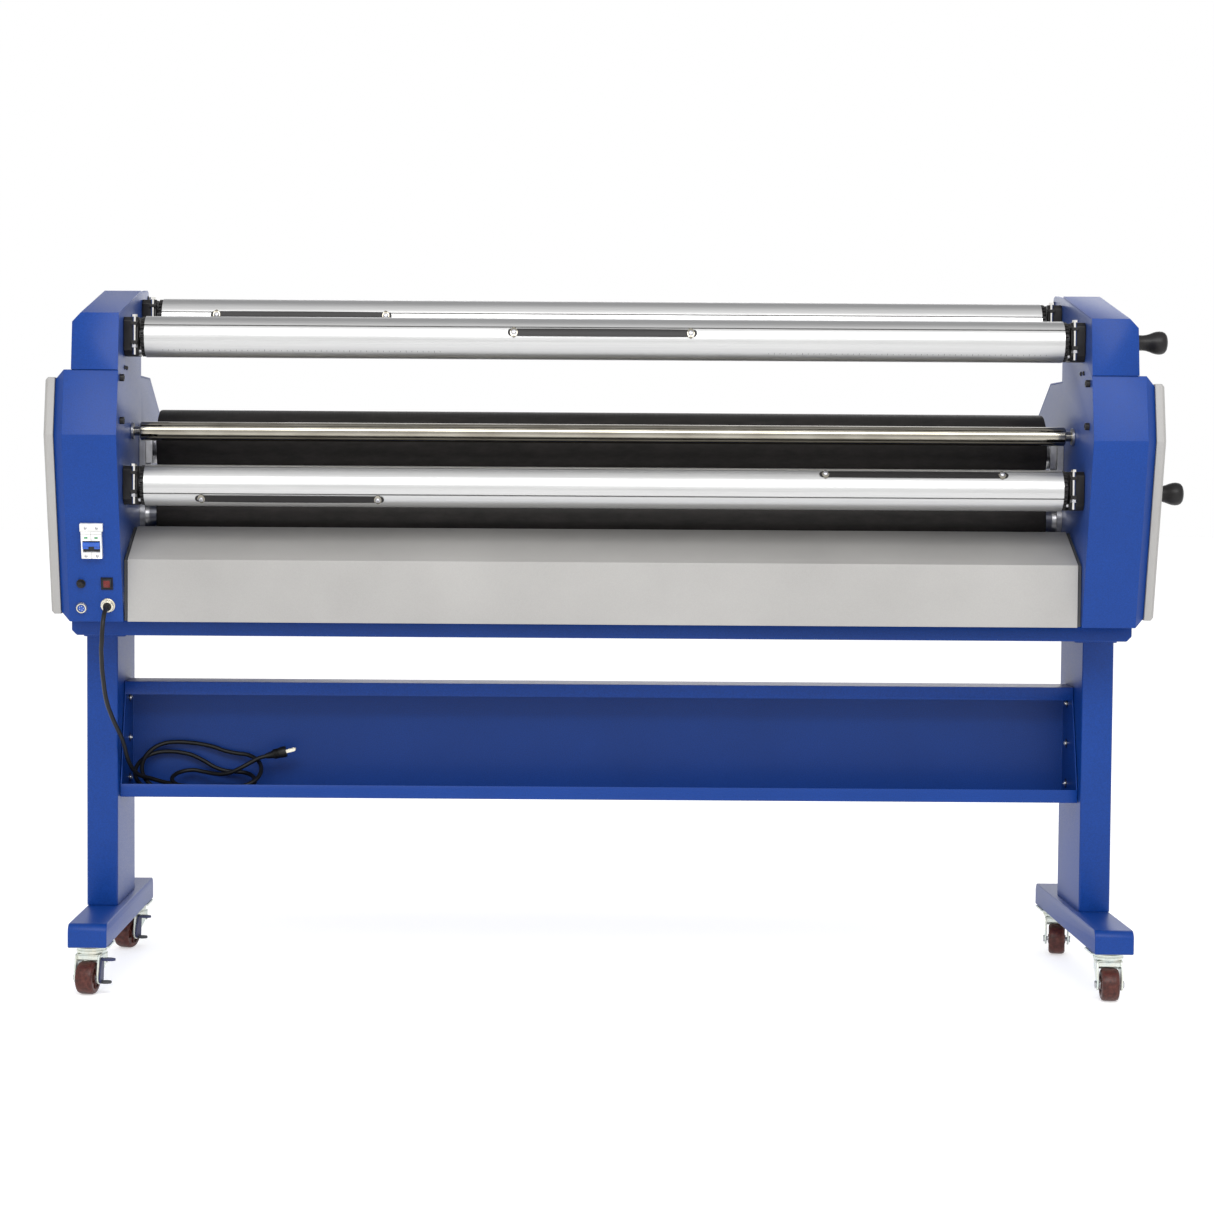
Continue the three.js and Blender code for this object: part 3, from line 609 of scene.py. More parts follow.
def half_turn(start, end, limit):
    """Half a loop, in X, Y, Z: round from start to end, each (Y, Z), as far as the limit in X."""
    first, last = Vector(start), Vector(end)
    centre = (first + last) / 2
    radius = (first - last).length / 2
    side = math.copysign(1, limit - (LEFT_END + RIGHT_END) / 2)
    centre_x = limit - side * radius
    points = []
    for step in range(ARC_STEPS + 1):
        angle = math.pi * step / ARC_STEPS
        place = centre + (first - centre) * math.cos(angle)
        points.append((centre_x + side * radius * math.sin(angle), place.x, place.y))
    return points


def loops_route():
    """Three leaning loops of cord, the last with its near end turned back towards the plug."""
    return [
        *half_turn((148, FLOOR_LINE), (64, FLOOR_LINE), RIGHT_END),
        *[(x, 64, FLOOR_LINE) for x in (-710, -750, -790)],
        *half_turn((64, FLOOR_LINE), (147, 400), LEFT_END),
        (-795, 148, 399), (-770, 148, 394), (-747, 147.5, 383.5), (-727, 146.5, 372), (-707, 145, 365),
        *half_turn((144, 362.5), (73, FLOOR_LINE), -645),
        *[(x, 74, FLOOR_LINE) for x in (-722, -755, -787)],
        *half_turn((74, FLOOR_LINE), (147, 418), LEFT_END + 12),
        (-785, 148, 418), (-755, 148, 415), (-728, 148, 409.5), (-706, 147, 402),
        *half_turn((146, 397), (69, 342.2), RIGHT_END),
        *[(x, 69, 342.2) for x in (-705, -735)],
        *half_turn((69, 342.2), (139, 366), -800),
    ]


def smooth_path(points, spacing):
    """A Catmull-Rom curve through the points, as closely spaced points."""
    points = [Vector(point) for point in points]
    ends = [2 * points[0] - points[1], *points, 2 * points[-1] - points[-2]]
    path = []
    for before, start, end, after in zip(ends, ends[1:], ends[2:], ends[3:]):
        times = [0.0]
        for a, b in ((before, start), (start, end), (end, after)):
            times.append(times[-1] + math.sqrt((b - a).length))
        t0, t1, t2, t3 = times
        steps = max(1, round((end - start).length / spacing))
        for step in range(steps):
            t = t1 + (t2 - t1) * step / steps
            a1 = (before * (t1 - t) + start * (t - t0)) / (t1 - t0)
            a2 = (start * (t2 - t) + end * (t - t1)) / (t2 - t1)
            a3 = (end * (t3 - t) + after * (t - t2)) / (t3 - t2)
            b1 = (a1 * (t2 - t) + a2 * (t - t0)) / (t2 - t0)
            b2 = (a2 * (t3 - t) + a3 * (t - t1)) / (t3 - t1)
            path.append((b1 * (t2 - t) + b2 * (t - t1)) / (t2 - t1))
    return [*path, points[-1]]


def tube_curve(name, path, radius):
    data = bpy.data.curves.new(name, "CURVE")
    data.dimensions = "3D"
    data.bevel_depth = radius
    data.bevel_resolution = 5
    data.use_fill_caps = True
    spline = data.splines.new("POLY")
    spline.points.add(len(path) - 1)
    for point, place in zip(spline.points, path):
        point.co = (*place, 1)
    spline.use_smooth = True
    obj = bpy.data.objects.new(name, data)
    bpy.context.scene.collection.objects.link(obj)
    return obj


def make_plug():
    """Moulded two-pin plug: a ribbed grip, and flat pins."""
    start = at(-624, 112, 396)
    tilt = Matrix.Rotation(-math.radians(14), 4, "Y")
    place = Matrix.Translation(start) @ tilt
    body_end, pin_end = 0.039, 0.057
    profile = [(0, 0), (0.0052, 0), (0.0058, 0.004), (0.0066, 0.010), (0.0082, 0.014)]
    for rib in range(5):
        base = 0.0155 + rib * 0.0022
        profile += [(0.0088, base), (0.0097, base + 0.0007), (0.0097, base + 0.0014)]
    profile += [(0.0104, 0.029), (0.0108, 0.035), (0.0100, 0.0384), (0.0090, body_end), (0, body_end)]
    body = moved(lathe(profile, 40), ALONG_X)
    plug = placed("plug_body", body, place, "cord_rubber", replaces=["power_plug"])
    pins = []
    for side in (-1, 1):
        outline = [(0.037, -0.0031), (0.054, -0.0031), (pin_end, -0.0018), (pin_end, 0.0018),
                   (0.054, 0.0031), (0.037, 0.0031)]
        upright = Matrix.Translation((0, side * 0.006, 0)) @ Matrix.Rotation(math.pi / 2, 4, "X")
        pins.append(moved(prism(outline, -0.0008, 0.0008), upright))
    blades = placed("plug_pins", joined(*pins), place, "nickel_brass", edge=0.0002)
    return [plug, blades]


def make_cord():
    route = [Vector(point) + ORIGIN for point in HANGING_ROUTE]
    route += [at(*point) for point in LANDING + loops_route() + LAST_STRAND]
    path = smooth_path(route, 0.003)
    cord = tube_curve("mains_cord", path, CORD_RADIUS)
    dress(cord, "cord_rubber", "frame", ["power_cord", "cord_coil"])
    make_plug()


make_cord()


# ---------------------------------------------------------------- fasteners and small helpers
WASHER_THICK = 0.0008


def slab(low, high):
    """A block between two corners given in the drawing's millimetres."""
    return block(at(*low), at(*high))


def dome_screw(radius):
    """A pan head with a round recess."""
    return lathe([
        (0, 0), (radius, 0), (radius, radius * 0.25), (radius * 0.86, radius * 0.52),
        (radius * 0.6, radius * 0.68), (radius * 0.36, radius * 0.72), (radius * 0.3, radius * 0.4),
        (0, radius * 0.4),
    ], 24)


def cap_screw(radius):
    """A socket head with a chamfered rim and a deep socket."""
    return lathe([
        (0, 0), (radius, 0), (radius, radius * 1.05), (radius * 0.9, radius * 1.2),
        (radius * 0.58, radius * 1.2), (radius * 0.52, radius * 0.5), (0, radius * 0.5),
    ], 24)


def hex_bolt(radius):
    """A hexagon head with a chamfered crown, on a flange."""
    flange = lathe([
        (0, 0), (radius * 1.35, 0), (radius * 1.35, radius * 0.18), (radius * 1.25, radius * 0.26),
        (0, radius * 0.26),
    ], 24)
    crown = lathe([(0, radius * 0.85), (radius * 0.82, radius * 0.85), (radius * 0.7, radius * 0.95),
                   (0, radius * 0.95)], 24)
    return joined(flange, prism(regular(6, radius), radius * 0.26, radius * 0.87), crown)


def washer(radius):
    return cylinder(radius, 0, WASHER_THICK, 32)


def fasteners(name, head, places, normal, finish="bright_fastener", body="frame"):
    """A set of equal screws, each at its own place and all facing one way, as one piece."""
    heads = [moved(head.copy(), facing(place, normal)) for place in places]
    head.free()
    return make_piece(name, joined(*heads), finish, body)


def spaced(low, high, count):
    return [low + (high - low) * step / (count - 1) for step in range(count)]


def assign(node, finish):
    """Keeps a CAD node as it is, with its real material."""
    source = frame["nodes"][node]
    source.data.materials.clear()
    source.data.materials.append(SLOT_FINISHES[finish])
    for face in source.data.polygons:
        face.material_index = 0


# ---------------------------------------------------------------- sheet metal
SHEET_BEND = 0.0018


def make_sheet_metal():
    for side in SIDES:
        for node in ("foot", "leg", "housing", "upper_housing"):
            refined(f"{side}_{node}", "blue_paint", SHEET_BEND)
        # The side plates take the lighter copy of the blue paint: painted light on their faces.
        refined(f"{side}_side_plate", "plate_paint_with_painted_light", 0.0006)
        refined(f"{side}_side_panel", "light_grey_paint", 0.0012)
    refined("base_beam", "blue_paint", SHEET_BEND)
    refined("stand_tray", "blue_paint", 0.0008)
    refined("rear_cover", "light_grey_paint", 0.0012)
    refined("front_cover", "light_grey_paint", 0.0012)


SLOPE_LOW, SLOPE_HIGH = (-168, 662.4), (-250, 992)      # the housings' rear faces, as (Y, Z)
DECK_HIGH, DECK_LOW = (165, 1106), (345, 1020)          # their sloping decks
LEG_X = 914.5
PLATE_INNER = 850                                       # the side plates' inner faces
# Screws on the side panels and plates, as (Y, Z).
PANEL_SCREWS = [(-128, 712), (302, 712), (-208, 978), (-190, 1062), (140, 1062), (302, 1000)]
PLATE_SCREWS = [(-205, 1093), (-205, 1018), (160, 700)]
SADDLE_FOOT_SCREWS = [(-152, 1113), (-128, 1113), (50, 1200), (122, 1200)]
TRAY_OUTSIDE, TRAY_INSIDE = 885, 882.5                  # the two faces of the tray's ends
TRAY_SCREW_Y = 125
TRAY_SCREWS = (505, 429, 353)                           # heights


def on_rear_face(x, z):
    """A matrix on the rear sloping face of a housing: X along, Y up the slope, Z out of it."""
    run = (SLOPE_HIGH[0] - SLOPE_LOW[0]) / (SLOPE_HIGH[1] - SLOPE_LOW[1])
    y = SLOPE_LOW[0] + run * (z - SLOPE_LOW[1])
    return facing(at(x, y, z), (0, -1, run))


def on_deck(x, share):
    """A matrix on a housing's deck, a share of the way down it."""
    y = DECK_HIGH[0] + (DECK_LOW[0] - DECK_HIGH[0]) * share
    z = DECK_HIGH[1] + (DECK_LOW[1] - DECK_HIGH[1]) * share
    normal = (0, DECK_HIGH[1] - DECK_LOW[1], DECK_LOW[0] - DECK_HIGH[0])
    return facing(at(x, y, z), normal, (0, -1, 0))


def make_plate_screws(side, sign):
    """Screws of a grey side panel, of its side plate and of the saddles' feet on the plate."""
    inward = (-sign, 0, 0)
    face_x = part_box(f"{side}_side_panel")[sign > 0].x
    panel = [Vector((face_x, at(0, y, 0).y, z * MM)) for y, z in PANEL_SCREWS]
    fasteners(f"{side}_panel_screws", dome_screw(0.0045), panel, (sign, 0, 0))
    plate = [at(sign * PLATE_INNER, y, z) for y, z in PLATE_SCREWS]
    fasteners(f"{side}_plate_screws", cap_screw(0.0065), plate, inward, "black_plastic")
    feet = [at(sign * PLATE_INNER, y, z) for y, z in SADDLE_FOOT_SCREWS]
    fasteners(f"{side}_saddle_foot_screws", dome_screw(0.004), feet, inward, "black_plastic")


def make_tray_screws(side, sign):
    """Spacers between the tray's end and the leg, and the screws with washers inside the tray."""
    inward = (-sign, 0, 0)
    spacers = [at(sign * TRAY_OUTSIDE, TRAY_SCREW_Y, z) for z in TRAY_SCREWS]
    fasteners(f"{side}_tray_spacers", washer(0.009), spacers, (sign, 0, 0), "black_plastic")
    washers = [at(sign * TRAY_INSIDE, TRAY_SCREW_Y, z) for z in TRAY_SCREWS]
    fasteners(f"{side}_tray_washers", washer(0.009), washers, inward, "black_plastic")
    heads = [place + Vector(inward) * WASHER_THICK for place in washers]
    fasteners(f"{side}_tray_screws", dome_screw(0.0052), heads, inward)


def make_stand_bolts(side, sign):
    """Bolts that hold the beam on the leg, and the leg on the foot."""
    under_beam = [at(sign * 915, y, 635) for y in (-30, 235)]
    fasteners(f"{side}_beam_bolts", hex_bolt(0.0085), under_beam, (0, 0, -1))
    on_foot = [at(sign * LEG_X, y, 129) for y in (-12, 223)]
    fasteners(f"{side}_foot_bolts", hex_bolt(0.008), on_foot, (0, 0, 1))


def make_cover_screws():
    low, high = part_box("front_cover")
    places = [Vector((x, high.y, low.z + 0.02)) for x in spaced(low.x + 0.05, high.x - 0.05, 6)]
    fasteners("front_cover_screws", dome_screw(0.0045), places, (0, 1, 0))


def make_horn_eyes():
    """A dark ring at the eye at the rounded end of each side plate's horn: painted shade standing for the
    hole.
    """
    for side, sign in SIDES.items():
        ring = lathe([(0.0035, 0), (0.0062, 0), (0.0062, 0.0012), (0.0052, 0.002), (0.0035, 0.002)], 32)
        place = facing(at(sign * PLATE_INNER, 139, 1252), (-sign, 0, 0))
        placed(f"{side}_horn_eye_shade", ring, place, "black_plastic")


def make_cover_gaps():
    """Dark strips where the rear cover meets the side plates: painted shade in the gaps between them."""
    outline = [(-161.5, 664), (-162.5, 772), (-46, 828), (-44, 826), (-156, 770), (-157, 664)]
    for side, sign in SIDES.items():
        # A dark strip laid in the gap: painted shade.
        gap_shade = prism(in_metres(outline), -0.0022, 0.0022)
        place = Matrix.Translation(at(sign * 846.5, 0, 0)) @ ACROSS_X
        placed(f"{side}_cover_gap_shade", gap_shade, place, "grey_rubber")


def make_louvres():
    """Cooling slots pressed out of the front cover, in front of the motor."""
    low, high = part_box("front_cover")
    count, pitch, half, middle_x = 9, 0.011, 0.045, -0.62
    outline = [(-half, 0), (half, 0), (half - 0.004, 0.0035), (-half + 0.004, 0.0035)]
    lean = Matrix.Rotation(math.pi / 2, 4, "X") @ Matrix.Rotation(math.radians(24), 4, "X")
    lips = []
    for row in range(count):
        place = Matrix.Translation((middle_x, high.y, low.z + 0.055 + row * pitch))
        lips.append(moved(prism(outline, 0, 0.0022), place @ lean @ Matrix.Rotation(math.pi, 4, "Y")))
    make_piece("front_cover_louvres", joined(*lips), "light_grey_paint", "frame")


make_sheet_metal()
for side_name, side_sign in SIDES.items():
    make_plate_screws(side_name, side_sign)
    make_tray_screws(side_name, side_sign)
    make_stand_bolts(side_name, side_sign)
make_cover_screws()
make_horn_eyes()
make_cover_gaps()
make_louvres()


# ---------------------------------------------------------------- film tubes
TUBE_AXES = {"rear_upper": (-140, 1168), "front_upper": (85, 1213), "rear_lower": (-150, 905)}
GRIP_ANGLES = {                   # of each tube's grips from left to right, above its -Y side
    "rear_upper": (150, 16, -132),
    "front_upper": (9, -128, 132),
    "rear_lower": (-39.5, -176.5, 46.5),
}
SLOT_ANGLES = {"rear_upper": 16, "front_upper": 8, "rear_lower": 16}    # of each slot, from its grip
SCALE_ANGLE = -58                 # of the scale, from the middle grip
GRIP_LENGTH, GRIP_WIDTH = 0.334, 0.0135
GRIP_MIDDLES = (-554.5, -4, 548)
SLOT_WIDTH, SLOT_DEPTH = 0.0026, 0.005
TUBE_RADIUS = (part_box("rear_upper_tube")[1].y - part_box("rear_upper_tube")[0].y) / 2
TUBE_HALF = 812


def round_about(degrees, radius):
    """A point of a tube's section, at an angle above the level of its -Y side, for use with ALONG_X."""
    angle = math.radians(degrees)
    return (-radius * math.sin(angle), -radius * math.cos(angle))


def slotted_circle(radius, slots, steps=120):
    """A tube's section, with a narrow slot at each of the angles."""
    half = math.degrees(SLOT_WIDTH / 2 / radius)
    corners = []
    for step in range(steps):
        angle = 360 * step / steps
        if all(abs((angle - slot + 180) % 360 - 180) > half * 1.5 for slot in slots):
            corners.append((angle, radius))
    for slot in slots:
        for turn, depth in ((-half, 0), (-half * 0.98, SLOT_DEPTH), (half * 0.98, SLOT_DEPTH), (half, 0)):
            corners.append(((slot + turn) % 360, radius - depth))
    return [round_about(angle, distance) for angle, distance in sorted(corners)]


def about_axis(place, degrees):
    """A matrix at a tube's axis: X along the tube, Z out of it at an angle above its -Y side."""
    angle = math.radians(degrees)
    out = Vector((0, -math.cos(angle), math.sin(angle)))
    along = Vector((1, 0, 0))
    matrix = Matrix((along, out.cross(along), out)).transposed().to_4x4()
    matrix.translation = place
    return matrix


def leaf_spring(length, width, radius, bow=0.0010, thick=0.0009):
    """A thin leaf with round ends along X, curved to a tube's surface and bowed off it in the middle."""
    bm = bmesh.new()
    stations, across = 48, 6
    end = width / 2
    rows = []
    for station in range(stations + 1):
        t = -math.cos(math.pi * station / stations)
        x = t * length / 2
        inset = max(0.0, abs(x) - (length / 2 - end)) / end
        half = max(0.0004, end * math.sqrt(max(0.0, 1 - inset * inset)))
        lift = 0.0003 + bow * (1 - t * t)
        row = []
        for layer in (lift, lift + thick):
            for step in range(across + 1):
                angle = (step / across * 2 - 1) * half / radius
                reach = radius + layer
                row.append(bm.verts.new((x, reach * math.sin(angle), reach * math.cos(angle))))
        rows.append(row)
    count = across + 1
    around = list(range(count)) + list(range(2 * count - 1, count - 1, -1))
    for first, second in zip(rows, rows[1:]):
        for a, b in zip(around, around[1:] + around[:1]):
            bm.faces.new((first[a], first[b], second[b], second[a]))
    for row in (rows[0], rows[-1]):
        bm.faces.new([row[index] for index in around])
    return bm


def gear_outline(root, tip, teeth):
    """A toothed or knurled rim."""
    points = []
    for tooth in range(teeth):
        for part, radius in ((0.0, root), (0.18, tip), (0.5, tip), (0.68, root)):
            angle = 2 * math.pi * (tooth + part) / teeth
            points.append((radius * math.cos(angle), radius * math.sin(angle)))
    return points


def make_tube(name, axis):
    """A slotted shell with a toothed collar and a journal at each end, film grips and a scale."""
    body = f"{name}_tube"
    place = at(0, *axis)
    angles = GRIP_ANGLES[name]
    slots = [(angle + SLOT_ANGLES[name]) % 360 for angle in angles]
    outline = slotted_circle(TUBE_RADIUS, slots)
    half = TUBE_HALF * MM
    shell = moved(prism(outline, -half, half), Matrix.Translation(place) @ ALONG_X)
    make_piece(f"{name}_tube_shell", shell, "aluminium_tube", body, [f"{name}_tube"])

    collars, journals = [], []
    for sign in SIDES.values():
        end = Matrix.Translation(place) @ ALONG_X
        if sign < 0:
            end = end @ Matrix.Rotation(math.pi, 4, "X")
        ring = prism(gear_outline(0.0315, 0.0352, 26), half + 0.0002, half + 0.0068)
        hub = lathe([(0, 0.8188), (0.018, 0.8188), (0.018, 0.8212), (0.0165, 0.822), (0, 0.822)])
        collars.append(moved(joined(ring, hub), end))
        journal = lathe([(0, 0.821), (0.011, 0.821), (0.011, 0.8445), (0.0098, 0.8458), (0, 0.8458)])
        journals.append(moved(journal, end))
    make_piece(f"{name}_tube_collars", joined(*collars), "black_plastic", body, edge=0.0003)
    make_piece(f"{name}_tube_journals", joined(*journals), "machined_steel", body)
    make_film_grips(name, place, body)
    make_scale(name, place, body, angles[1] + SCALE_ANGLE)


def make_film_grips(name, place, body):
    """Three bowed leaves along a tube, each held at both ends by a curved clip and a screw."""
    leaves, clips, screws = [], [], []
    for angle, middle_x in zip(GRIP_ANGLES[name], GRIP_MIDDLES):
        turn = about_axis(place + Vector((middle_x * MM, 0, 0)), angle)
        leaves.append(moved(leaf_spring(GRIP_LENGTH, GRIP_WIDTH, TUBE_RADIUS), turn))
        for sign in SIDES.values():
            along = Matrix.Translation((sign * (GRIP_LENGTH / 2 - 0.011), 0, 0))
            clips.append(moved(leaf_spring(0.013, 0.021, TUBE_RADIUS + 0.0007, 0.0004), turn @ along))
            head = turn @ along @ Matrix.Translation((0, 0, TUBE_RADIUS + 0.0018))
            screws.append(moved(dome_screw(0.0048), head))
    make_piece(f"{name}_film_grips", joined(*leaves), "black_plastic", body)
    # The clips take the darkened chrome, which is painted shade.
    make_piece(f"{name}_grip_clips", joined(*clips), "chrome_with_painted_shade", body)
    make_piece(f"{name}_grip_screws", joined(*screws), "machined_steel", body)


def make_scale(name, place, body, degrees):
    """Ruler ticks every 10 mm out towards both ends, longer at every 50 mm."""
    ticks = []
    for sign in SIDES.values():
        for step in range(29, 79):
            half_height = 0.0022 if step % 5 == 0 else 0.0013
            tick = block((-0.0003, -half_height, -0.0006), (0.0003, half_height, 0.00012))
            turn = about_axis(place + Vector((sign * step * 0.01, 0, 0)), degrees)
            ticks.append(moved(tick, turn @ Matrix.Translation((0, 0, TUBE_RADIUS))))
    make_piece(f"{name}_scale", joined(*ticks), "black_plastic", body)


def make_saddle(name, axis, side, sign):
    """A bevelled saddle with a chrome brake rod in front of it, its guides and nut, and two screws."""
    y, z = axis
    refined(f"{side}_{name}_saddle", "black_plastic", 0.0014)
    rod_x, rod_y = sign * 829.5, y - 31
    rod = lathe([(0, 0), (0.0026, 0), (0.003, 0.0005), (0.003, 0.0695), (0.0026, 0.07), (0, 0.07)], 24)
    head = moved(prism(regular(6, 0.0055), 0, 0.0042), Matrix.Translation((0, 0, 0.0665)))
    whole = moved(joined(rod, head), Matrix.Translation(at(rod_x, rod_y, z - 33)))
    make_piece(f"{side}_{name}_brake_rod", whole, "chrome", "frame")
    guides = []
    for low, high in ((-15, -8), (19, 25)):
        guides.append(slab((rod_x - 6, rod_y - 5, z + low), (rod_x + 6, y - 26.5, z + high)))
    make_piece(f"{side}_{name}_rod_guides", joined(*guides), "black_plastic", "frame", edge=0.0012)
    nut = moved(prism(regular(6, 0.0062), 0, 0.005), Matrix.Translation(at(rod_x, rod_y, z - 20.5)))
    make_piece(f"{side}_{name}_rod_nut", nut, "machined_steel", "frame", edge=0.0004)
    clamps = [at(sign * 823, y + offset, z - 26) for offset in (-15, 15)]
    fasteners(f"{side}_{name}_saddle_screws", cap_screw(0.0034), clamps, (-sign, 0, 0), "machined_steel")


for tube_name, tube_axis in TUBE_AXES.items():
    make_tube(tube_name, tube_axis)
    for side_name, side_sign in SIDES.items():
        make_saddle(tube_name, tube_axis, side_name, side_sign)


# ---------------------------------------------------------------- rollers and drive
ROLLER_HALF, ROLLER_RADIUS, CORE_RADIUS = 0.815, 0.065, 0.045
LOWER_ROLLER_Z = 848


def make_roller(name):
    """A rubber covering with rounded rims, on its steel core."""
    half, radius, core, edge = ROLLER_HALF, ROLLER_RADIUS, CORE_RADIUS, 0.004
    rim = [(radius, half - edge), (radius - 0.001, half - 0.001), (radius - edge, half), (core, half)]
    profile = [*[(r, -x) for r, x in reversed(rim)], *rim]
    rubber = turned(profile, *middle(f"{name}_rubber"), 144)
    make_piece(f"{name}_covering", rubber, "roller_rubber", name, [f"{name}_rubber"])
    refined(f"{name}_core", "machined_steel", 0.0008)


def make_guide_roller():
    """A chrome roller with narrow journals, in two flanged bearings."""
    low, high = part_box("guide_roller")
    radius = (high.z - low.z) / 2
    half, tip, journal, cut = 0.833, (high.x - low.x) / 2, 0.0085, 0.002
    end = [(radius, half - cut), (radius - cut, half), (journal, half), (journal, tip), (0, tip)]
    profile = [*[(r, -x) for r, x in reversed(end)], *end]
    roller = turned(profile, *middle("guide_roller"), 96)
    # The roller's darkened chrome is painted shade.
    make_piece("guide_roller_skin", roller, "chrome_with_painted_shade", "guide_roller", ["guide_roller"])
    for side, sign in SIDES.items():
        bearing = lathe([(0.0088, 0), (0.014, 0), (0.015, 0.001), (0.015, 0.0045), (0.0088, 0.0045)])
        place = facing(at(sign * 849.6, -70, 1002), (-sign, 0, 0))
        placed(f"{side}_guide_bearing", bearing, place, "machined_steel")


def make_bearings():
    """Blocks that slide between rails with the upper roller, and flanged bearings of the lower one."""
    for side, sign in SIDES.items():
        refined(f"{side}_roller_block", "machined_steel", 0.001)
        rails = []
        for offset in (-38, 31.5):
            rail_y = ROLLER_Y + offset
            rails.append(slab((sign * 838, rail_y, 938), (sign * 849.8, rail_y + 6.5, 1016)))
        make_piece(f"{side}_block_rails", joined(*rails), "machined_steel", "frame", edge=0.0008)
        cap = moved(hex_bolt(0.008), Matrix.Translation(at(sign * 838, ROLLER_Y, 1012.5)))
        make_piece(f"{side}_lift_screw_head", cap, "bright_fastener", "roller_carriage")
        oval = [(x * 0.030, y * 0.034) for x, y in regular(24, 1)]
        boss = lathe([(0.0165, 0.008), (0.022, 0.008), (0.021, 0.016), (0.0165, 0.016)])
        bearing = joined(prism(oval, 0, 0.009), boss)
        place = facing(at(sign * 849.8, ROLLER_Y, LOWER_ROLLER_Z), (-sign, 0, 0))
        placed(f"{side}_lower_bearing", bearing, place, "machined_steel")
        bolts = [at(sign * 840.8, ROLLER_Y + a, LOWER_ROLLER_Z + b) for b in (-24, 24) for a in (-21, 21)]
        fasteners(f"{side}_bearing_bolts", cap_screw(0.0036), bolts, (-sign, 0, 0), "bright_fastener")


def make_drive():
    """The sprockets and chain of the CAD, and a motor with cooling fins."""
    for node in ("roller_sprocket", "motor_sprocket", "drive_chain"):
        assign(node, "machined_steel")
    refined("drive_motor", "black_plastic", 0.001)
    end_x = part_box("drive_motor")[1].x
    centre = middle("drive_motor")
    fins = []
    for step in range(10):
        fin = sleeve(0.0375, 0.0405, -0.0016, 0.0016, 64)
        place = Matrix.Translation((end_x - 0.012 - step * 0.013, centre.y, centre.z))
        fins.append(moved(fin, place @ ALONG_X))
    make_piece("motor_fins", joined(*fins), "machined_steel", "frame")


for roller_name in ("upper_roller", "lower_roller"):
    make_roller(roller_name)
make_guide_roller()
make_bearings()
make_drive()


# ---------------------------------------------------------------- handwheels
# Profiles in millimetres, as (radius, distance out along X).
WHEEL_PROFILE = [
    (0, 0), (14, 0), (16, 3), (40, 4.5), (44, 2.6), (47.5, 2.2), (50.5, 3.8), (52, 7), (52, 11),
    (50.5, 14), (47.5, 15.8), (44, 15.4), (40, 13.2), (26, 11.8), (22, 12.6), (18, 14), (0, 14),
]
GRIP_PROFILE = [
    (0, 0), (13.5, 0), (14.8, 1.2), (15.2, 4), (14.6, 10), (13.9, 16), (13.8, 21), (14.6, 27), (16.4, 33),
    (18.8, 39), (20.4, 44.5), (21, 50), (20.4, 55.5), (18.4, 59.6), (15, 62.4), (10.5, 63.8), (5.5, 64),
    (0, 64),
]


def make_handwheel(level):
    """A dished wheel with its revolving grip, the grip's spindle, a hub cap and a collar behind."""
    wheel_node, grip_node = f"{level}_handwheel", f"{level}_grip"
    inner_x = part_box(wheel_node)[0].x
    hub, grip = middle(wheel_node), middle(grip_node)
    wheel = turned(in_metres(WHEEL_PROFILE), inner_x, hub.y, hub.z, 96)
    make_piece(f"{level}_wheel", wheel, "black_plastic", wheel_node, [wheel_node])
    knob = turned(in_metres(GRIP_PROFILE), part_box(grip_node)[0].x, grip.y, grip.z, 64)
    make_piece(f"{level}_knob", knob, "black_plastic", grip_node, [grip_node])
    spindle = [(0, 0), (0.0075, 0), (0.0075, 0.0025), (0.005, 0.003), (0.005, 0.0066), (0, 0.0066)]
    cap = [(0, 0), (0.011, 0), (0.011, 0.0015), (0.0095, 0.0028), (0.003, 0.0034), (0, 0.0034)]
    bright = joined(
        turned(spindle, inner_x + 0.0136, grip.y, grip.z, 32),
        turned(cap, inner_x + 0.0138, hub.y, hub.z, 48),
    )
    make_piece(f"{level}_wheel_bright_work", bright, "chrome", wheel_node)
    collar = [(0, 0), (0.019, 0), (0.019, 0.0022), (0.0175, 0.0035), (0, 0.0035)]
    collar_piece = turned(collar, inner_x - 0.0038, hub.y, hub.z, 48)
    make_piece(f"{level}_wheel_collar", collar_piece, "machined_steel", "frame")


# ---------------------------------------------------------------- mains inlet and switches
def make_breaker():
    """A two-pole breaker: terminal screws, seam between the poles, a dark plate deep in the toggle slots as
    painted shade, status windows.
    """
    refined("breaker_body", "white_plastic", 0.0006)
    refined("breaker_toggle", "toggle_plastic", 0.0005)
    place = on_rear_face(-899, 808)
    screws = []
    for x in (-10, 10):
        for up, out in ((24, 9), (-26, 12)):
            offset = Matrix.Translation((x * MM, up * MM, (out - 0.4) * MM))
            screws.append(moved(dome_screw(0.0028), place @ offset))
    make_piece("breaker_screws", joined(*screws), "machined_steel", "frame")
    lines = [
        block((-0.00025, -0.031, 0.0119), (0.00025, -0.0202, 0.01215)),
        block((-0.00025, 0.0012, 0.0119), (0.00025, 0.018, 0.01215)),
        block((-0.018, 0.0132, 0.0119), (0.018, 0.0136, 0.01215)),
        block((-0.02, 0.0185, 0.0089), (0.02, 0.0189, 0.0092)),
    ]
    placed("breaker_seams", joined(*lines), place, "black_plastic")
    windows = [block((x - 0.003, 0.0055, 0.0119), (x + 0.003, 0.0085, 0.0122)) for x in (-0.009, 0.009)]
    placed("breaker_windows", joined(*windows), place, "green_plastic", edge=0.0001)
    # A dark plate at the bottom of the toggle slot: painted shade in the recess.
    slot_shade_plate = block((-0.0152, -0.0197, 0.0024), (0.0152, 0.0007, 0.0034))
    placed("breaker_slot_shade", slot_shade_plate, place, "grey_rubber", edge=0.0002)


